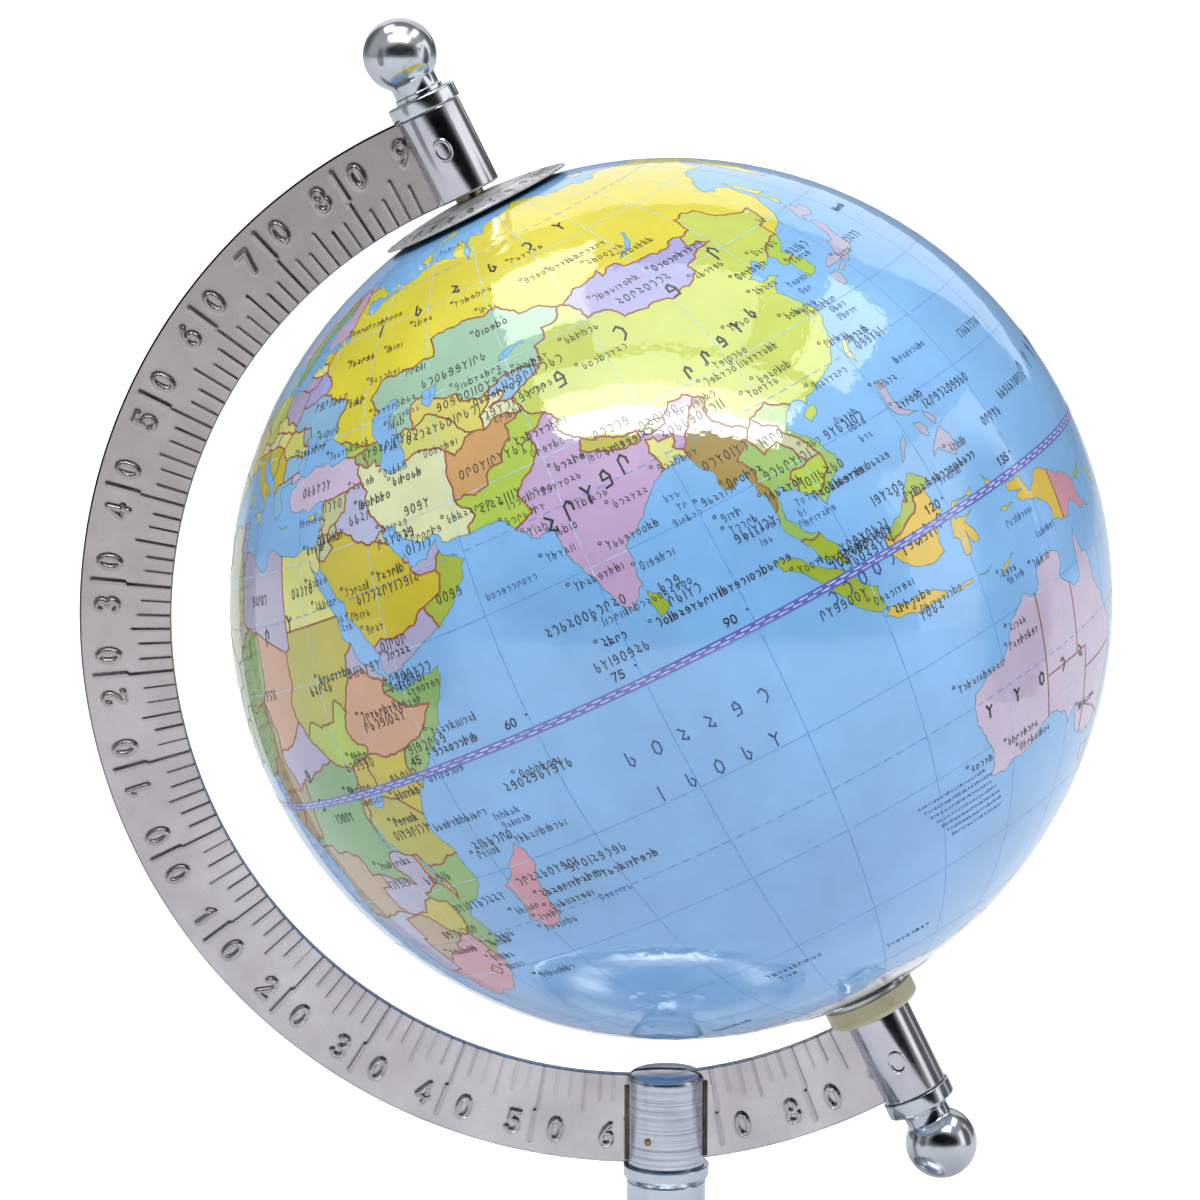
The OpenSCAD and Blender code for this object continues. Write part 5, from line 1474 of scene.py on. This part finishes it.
def build_fittings(nylon, film):
    z0, z1 = 64.65, SLEEVE_S[0]
    plug_r, plug_end = SLEEVE_RI - FIT_GAP, z1 + 4.4
    outline = [(ROD_BORE, z0), (6.75, z0), (6.9, z0 + 0.15)] + arc_pts(5.9, z1 - 1, 1, 0, 90, 8)
    outline += [(plug_r, z1), (plug_r, plug_end), (ROD_BORE, plug_end)]
    turned("nylon_collar", "south_collar", outline, south, nylon, 96)
    inner, outer, steps = 4.05, 12.9, 16
    radii = [inner + (outer - inner) * i / steps for i in range(steps + 1)]
    outline = [on_sphere(GLOBE_R + 0.4, r) for r in radii]
    outline += [on_sphere(GLOBE_R + 0.03, r) for r in reversed(radii)]
    disc = lathe("pole_film", outline, south, "globe", film)
    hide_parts("south_pole_disc")


# ---- the equator tape ----


def build_tape(blue, white):
    """A thin printed tape round the equator, with two staggered rows of dashes."""
    half, steps, dash, lane = 0.54, 288, 1.1, 0.2
    # latitude and rise above the map, round the tape's cross-section
    section = [(half, -0.03), (half, 0.02), (half * 0.6, 0.035), (0, 0.04)]
    section += [(-lat, rise) for lat, rise in section[2::-1]]
    verts, faces = [], []
    n = len(section)
    for k in range(steps):
        m = (k + 1) % steps
        verts += [on_globe(k * 360 / steps, lat, GLOBE_R + rise) for lat, rise in section]
        for j in range(n):
            i = (j + 1) % n
            faces.append([k * n + j, m * n + j, m * n + i, k * n + i])
    tape = solid("equator_band", verts, faces, "globe", blue, 40)
    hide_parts("equator_tape")
    strokes = Strokes(0.05, 0.03)
    for lon in range(0, 360, 2):
        strokes.line((lon, lane), (lon + dash, lane), 0.2)
        strokes.line((lon + 1, -lane), (lon + 1 + dash, -lane), 0.2)
    strokes.finish("equator_dashes", white, "globe", "tape_print")

# ---- materials ----

# how far the polar axis leans from upright
TILT = SIDE.angle(Vector((1, 0, 0)))


def printed(name, rgb):
    """Ink on paper under a clear film: a faintly mottled colour under a glossy, slightly wavy coat."""
    m = Material(name, Coat_Weight=1.0, Coat_Roughness=0.035, Coat_IOR=1.75, Specular_IOR_Level=0.35,
                 Roughness=0.45)
    light, dark = scaled(rgb, 0.98), scaled(rgb, 0.9)
    cloudy = m.ramp(m.noise(70, 4, 0.6), (0.32, dark), (0.68, light))
    specks = m.ramp(m.noise(2600, 2), (0.3, 0.0), (0.7, 0.12))
    m.feed("Base Color", m.mix(specks, cloudy, light))
    m.coat_bump(m.multiply(m.noise(40, 2, 0.5), m.noise(210, 3, 0.6)), 0.42, 0.3)
    m.bump(m.noise(400, 3), 0.08, 0.02)
    return m.data


def ink(name, rgb):
    m = Material(name, Coat_Weight=0.6, Coat_Roughness=0.08, Roughness=0.5)
    m.feed("Base Color", m.ramp(m.noise(900, 3), (0.3, scaled(rgb, 0.85)), (0.7, scaled(rgb, 1.1, 6))))
    return m.data


def dial_metal():
    """Worn printed tin: grey with darker rubbed patches."""
    m = Material("dial_tin", Metallic=0.35, Coat_Weight=0.5, Coat_Roughness=0.2)
    base = m.ramp(m.noise(160, 5, 0.6), (0.3, (132, 136, 136)), (0.65, (208, 211, 209)))
    patches = m.ramp(m.noise(320, 6, 0.7), (0.57, 0.0), (0.66, 0.75))
    m.feed("Base Color", m.mix(patches, base, (70, 72, 74)))
    m.feed("Roughness", m.ramp(m.noise(500, 4), (0.3, 0.25), (0.7, 0.5)))
    m.bump(m.noise(900, 4), 0.3, 0.03)
    return m.data


def nylon_material():
    m = Material("nylon_ivory", Subsurface_Weight=0.35, Subsurface_Scale=0.002, Roughness=0.32, IOR=1.53)
    m.feed("Base Color", m.ramp(m.noise(110, 4), (0.3, (176, 168, 128)), (0.7, (208, 202, 174))))
    m.bump(m.noise(700, 3), 0.2, 0.02)
    return m.data


def film_material():
    m = Material("clear_film", Transmission_Weight=1.0, IOR=1.46)
    m.feed("Base Color", m.ramp(m.noise(90, 3), (0.3, (238, 242, 246)), (0.7, (252, 253, 255))))
    m.feed("Roughness", m.ramp(m.noise(500, 4), (0.35, 0.03), (0.7, 0.16)))
    m.bump(m.noise(60, 2), 0.3, 0.1)
    return m.data


def stamped_nickel():
    """Nickelled sheet: lilac grey, warmer towards the north, with painted shade along the stamped lines."""
    m = Material("nickel_stamped", Metallic=1.0)
    clouds = m.ramp(m.noise(60, 5), (0.3, (178, 172, 176)), (0.7, (207, 202, 205)))
    clouds = m.mix(m.multiply(m.attribute("edge_dark"), 0.7), clouds, (178, 169, 162))
    # painted shade along the stamped flanks, darker where the stamping is steep
    m.feed("Base Color", m.mix(m.multiply(m.attribute("stamp_flank_shade"), 0.34), clouds, (84, 80, 84)))
    m.feed("Roughness", m.ramp(m.noise(170, 4, 0.6), (0.3, 0.2), (0.72, 0.32)))
    m.bump(m.noise(1.0, 2, coords=m.stretched(260, 260, 2600, TILT)), 0.06, 0.01)
    m.bump(m.noise(60, 3), 0.12, 0.1)
    return m.data


def edge_of_arc():
    """The arc's outer edge: painted dark towards the north as a painted dark reflection along the rolled
    edge, bare metal lower down.
    """
    m = Material("edge_painted_dark", Metallic=1.0)
    bare = m.ramp(m.noise(60, 5), (0.3, (150, 146, 152)), (0.7, (192, 188, 192)))
    shade_part = m.ramp(m.noise(90, 5), (0.3, (22, 22, 24)), (0.7, (58, 56, 60)))
    # painted dark reflection: the edge colour goes near black towards the north
    m.feed("Base Color", m.mix(m.attribute("edge_dark"), bare, shade_part))
    m.feed("Roughness", m.ramp(m.noise(230, 6, 0.65), (0.3, 0.24), (0.72, 0.5)))
    m.bump(m.noise(1500, 3), 0.12, 0.01)
    return m.data


def turned_steel():
    """Turned steel with fine rings all the way up, some of them darker."""
    m = Material("steel_turned", Metallic=1.0)
    rings = m.noise(1.0, 4, 0.7, m.stretched(7, 7, 1500))
    cloudy = m.ramp(m.noise(90, 4), (0.3, (164, 170, 182)), (0.7, (204, 208, 218)))
    m.feed("Base Color", m.mix(m.ramp(rings, (0.48, 0.0), (0.64, 0.75)), cloudy, (92, 96, 108)))
    m.feed("Roughness", m.ramp(m.noise(300, 4), (0.3, 0.13), (0.7, 0.3)))
    m.bump(rings, 0.9, 0.06)
    return m.data


# each metal's light and dark tint and its roughness, then the scales of its worked lines
nickel = stamped_nickel()
sleeve_metal = metal("nickel_sleeve", (198, 198, 205), (172, 171, 178), 0.11)
edge_metal = edge_of_arc()
chrome = metal("chrome_bright", (204, 208, 213), (178, 184, 190), 0.12)
chrome_aged = metal("chrome_aged", (208, 212, 218), (168, 172, 178), 0.14, grime=(120, 116, 108))
column_metal = metal("chrome_column", (196, 203, 213), (166, 174, 188), 0.14, (90, 90, 2200), bump=0.2)
head_metal = turned_steel()
ferrule_metal = metal("chrome_ferrule", (196, 204, 214), (164, 172, 186), 0.16, (60, 60, 2600), bump=0.3)
spun = metal("chrome_spun", (232, 235, 238), (214, 218, 222), 0.22, (120, 120, 2600), bump=0.12,
             smudge=(0.92, 1.12))
brass = metal("brass_aged", (150, 142, 108), (108, 98, 66), 0.3, grime=(92, 104, 62))
braze = metal("braze_brown", (112, 104, 90), (52, 44, 36), 0.4, grime=(34, 28, 24))
zinc = metal("zinc_plate", (192, 196, 198), (152, 158, 162), 0.26, (400, 400, 400))
iron = metal("cast_iron", (96, 96, 98), (58, 58, 60), 0.55, grime=(96, 62, 40))
dial_tin = dial_metal()
nylon = nylon_material()
film = film_material()
rubber = painted("pad_rubber", (34, 34, 36), 0.75, 900)
# near-black underside of the dial: painted shade for the gap beneath it, partly its own dark colour
dial_underside_shade = painted("dial_back_shade", (26, 26, 28), 0.6, 700)
black = ink("ink_black", (34, 34, 40))
blue_black = ink("ink_blue", (40, 62, 120))
inks = {
    "coast": ink("ink_coast", (84, 142, 152)), "border": ink("ink_border", (146, 84, 52)),
    "grid_sea": ink("ink_grid_sea", (82, 138, 206)), "grid_land": ink("ink_grid_land", (158, 200, 224)),
}
dial_ink = ink("ink_dial", (22, 22, 24))
tape_blue = printed("tape_blue", (98, 110, 196))
tape_white = ink("ink_white", (178, 188, 232))
prints = [printed("print_" + name, rgb) for name, (rgb, _) in PRINT.items()]
shell_plastic = painted("shell_plastic", (226, 228, 230), 0.4)

# ---- the object ----

world_map = Map()
for word, half in (("north", 1), ("south", -1)):
    skin = half_skin(world_map, "map_" + word, half, prints)
    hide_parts("map_skin_" + word)
printed_lines(world_map, inks)
printed_names(black, blue_black)
build_tape(tape_blue, tape_white)
build_arc(nickel, sleeve_metal, edge_metal)
build_finials(chrome_aged, chrome)
build_column(column_metal, head_metal, ferrule_metal, brass)
build_base(spun)
build_dial(dial_tin, dial_underside_shade, dial_ink)
build_fittings(nylon, film)

# what stays of the CAD model takes a material only
KEPT = {
    "base_pad": rubber, "base_weight": iron, "base_washer": zinc, "base_screw": zinc, "braze_beads": braze,
    "axle_rod": zinc, "dial_spacer": brass, "south_washer": zinc, "globe_shell_north": shell_plastic,
    "globe_shell_south": shell_plastic, "north_pole_bush": nylon, "south_pole_bush": nylon,
}
for node, material in KEPT.items():
    slots = frame["nodes"][node].data.materials
    for i in range(len(slots)):
        slots[i] = material

# ---- camera, floor and lights: places and sizes in metres ----


def heading(azimuth, elevation):
    """A direction in degrees: azimuth 0 points at the front, 90 to the right; elevation is above level."""
    a, e = math.radians(azimuth), math.radians(elevation)
    return Vector((math.sin(a) * math.cos(e), -math.cos(a) * math.cos(e), math.sin(e)))


# the camera's direction and, in millimetres, its distance, its aim left of the axle, its film and its lens
VIEW_AZ, VIEW_EL, VIEW_DISTANCE, VIEW_LEFT = 2.65, 9.62, 755.65, 9.9
FILM, LENS = 36, 157.04
# the view is centred on a point beside the globe's centre, square to the axle
VIEW_CENTRE = CENTRE - 0.35 * Vector((math.cos(TILT), 0, math.sin(TILT)))
FLOOR_HALF, FLOOR_GLOW = 40.0, 0.8
CEILING = 2.74
ROOM_TINT, ROOM_LEVEL = (0.94, 0.97, 1.0, 1), 0.52
# azimuth, elevation, the angles where the dark begins and ends, and how dark
DARK_CORNERS = ((34, 12, 13, 32, 0.97), (6, 18, 10, 30, 0.94), (-26, 14, 5, 24, 0.8), (180, 35, 20, 75, 0.4),
                (150, 15, 12, 34, 0.6), (-130, 18, 8, 30, 0.6))


def place_in_scene(name, data):
    made = bpy.data.objects.new(name, data)
    bpy.context.scene.collection.objects.link(made)
    return made


def card_mesh(name, corners):
    mesh = bpy.data.meshes.new(name)
    mesh.from_pydata(corners, [], [(0, 1, 2, 3)])
    return mesh


def build_camera():
    lens = bpy.data.cameras.new("camera")
    lens.sensor_width = FILM
    lens.lens = LENS
    lens.clip_end = 100
    camera = place_in_scene("camera", lens)
    place = VIEW_CENTRE + heading(VIEW_AZ, VIEW_EL) * VIEW_DISTANCE
    target = VIEW_CENTRE - heading(VIEW_AZ + 90, 0) * VIEW_LEFT
    camera.location = place * MM
    camera.rotation_mode = "QUATERNION"
    camera.rotation_quaternion = (target - place).to_track_quat("-Z", "Y")
    bpy.context.scene.camera = camera


def build_floor():
    s = FLOOR_HALF
    mesh = card_mesh("floor", [(-s, -s, 0), (s, -s, 0), (s, s, 0), (-s, s, 0)])
    floor = place_in_scene("floor", mesh)
    m = Material("floor_paper", Roughness=0.9, Specular_IOR_Level=0.1)
    m.feed("Base Color", m.ramp(m.noise(3, 2), (0.3, (218, 220, 224)), (0.7, (223, 225, 228))))
    # the paper is bright enough to come out white where it is seen, and stays pale grey in the reflections
    m.shader.inputs["Emission Color"].default_value = (1, 1, 1, 1)
    m.feed("Emission Strength", m.multiply(m.node("LightPath").outputs["Is Camera Ray"], FLOOR_GLOW))
    mesh.materials.append(m.data)


def panel(name, place, wide, deep, radiance, aim=(0, 0, -1)):
    """A soft box that shines one way with a given radiance."""
    light = bpy.data.lights.new(name, "AREA")
    light.shape = "RECTANGLE"
    light.size, light.size_y = wide, deep
    light.energy = radiance * math.pi * wide * deep
    holder = place_in_scene(name, light)
    holder.location = place
    holder.rotation_mode = "QUATERNION"
    holder.rotation_quaternion = Vector(aim).to_track_quat("-Z", "Y")
    holder.visible_camera = False


def flag(name, azimuth, distance, wide, low, high, darkness):
    """A dark oval with a soft edge that stands in front of the object for the chrome to reflect."""
    mesh = card_mesh(name, [(-1, 0, -1), (1, 0, -1), (1, 0, 1), (-1, 0, 1)])
    card = place_in_scene(name, mesh)
    card.location = heading(azimuth, 0) * distance + Vector((0, 0, (low + high) / 2))
    card.rotation_euler = (0, 0, math.radians(azimuth))
    card.scale = (wide / 2, 1, (high - low) / 2)
    m = Material(name + "_felt", Roughness=1.0, Specular_IOR_Level=0.0)
    m.feed("Base Color", m.ramp(m.noise(9, 2), (0.3, (12, 12, 14)), (0.7, (20, 20, 22))))
    out = m.node("VectorMath", links={0: m.coords}, operation="LENGTH").outputs["Value"]
    m.feed("Alpha", m.ramp(out, (0.7, darkness), (1.0, 0.0)))
    mesh.materials.append(m.data)
    card.visible_camera = False
    card.visible_diffuse = False
    card.visible_shadow = False
    card.visible_transmission = False


def build_world():
    """A pale room with a few dark corners for the chrome to reflect; pure white where the camera sees it."""
    world = bpy.data.worlds.new("room")
    bpy.context.scene.world = world
    world.use_nodes = True
    tree = world.node_tree
    direction = tree.nodes.new("ShaderNodeTexCoord").outputs["Generated"]
    level = None
    for azimuth, elevation, inner, outer, depth in DARK_CORNERS:
        dot = add_node(tree, "VectorMath", {1: heading(azimuth, elevation)}, {0: direction},
                       operation="DOT_PRODUCT")
        limits = {"From Min": math.cos(math.radians(outer)), "From Max": math.cos(math.radians(inner)),
                  "To Min": 1.0, "To Max": 1.0 - depth}
        fade = add_node(tree, "MapRange", limits, {"Value": dot.outputs["Value"]},
                        interpolation_type="SMOOTHSTEP")
        shade = fade.outputs["Result"]
        if level is not None:
            shade = add_node(tree, "Math", (), {0: level, 1: shade}, operation="MULTIPLY").outputs[0]
        level = shade
    room = add_node(tree, "Math", {1: ROOM_LEVEL}, {0: level}, operation="MULTIPLY").outputs[0]
    seen = tree.nodes.new("ShaderNodeLightPath").outputs["Is Camera Ray"]
    choice = add_node(tree, "Mix", {3: 1.0}, {0: seen, 2: room})
    background = tree.nodes["Background"]
    background.inputs["Color"].default_value = ROOM_TINT
    tree.links.new(choice.outputs[0], background.inputs["Strength"])


build_camera()
build_floor()
build_world()
# name, place, width, depth, radiance and, for the two that do not shine down, their aim
panel("front_panel", (0.06, -1.79, CEILING), 3.1, 0.46, 12)
panel("front_mid_panel", (0.06, -1.38, CEILING), 3.1, 0.36, 5)
panel("front_soft_panel", (0.06, -0.98, CEILING), 3.1, 0.44, 2.2)
panel("overhead_panel", (0, 0, CEILING), 1.5, 1.3, 1.6)
panel("back_left_panel", (-1.15, 0.6, CEILING), 1.0, 1.4, 3.6)
panel("right_panel", (1.7, 0.4, CEILING), 0.8, 1.9, 2.6)
panel("right_bounce", (2.6, 0.1, 0.9), 2.4, 1.8, 1.0, (-1, 0, -0.1))
panel("back_wall", (0, 2.7, 1.9), 3.6, 2.2, 0.8, (0, -1, -0.12))
# name, azimuth, distance, width, lower edge, upper edge, darkness
flag("flag_front", 4, 1.05, 1.9, 0.13, 1.15, 1.0)
flag("flag_right", 97, 0.45, 0.26, -0.1, 0.42, 0.9)
flag("flag_left", -60, 0.45, 0.2, -0.1, 0.42, 0.6)

bpy.context.scene.view_settings.view_transform = "Standard"
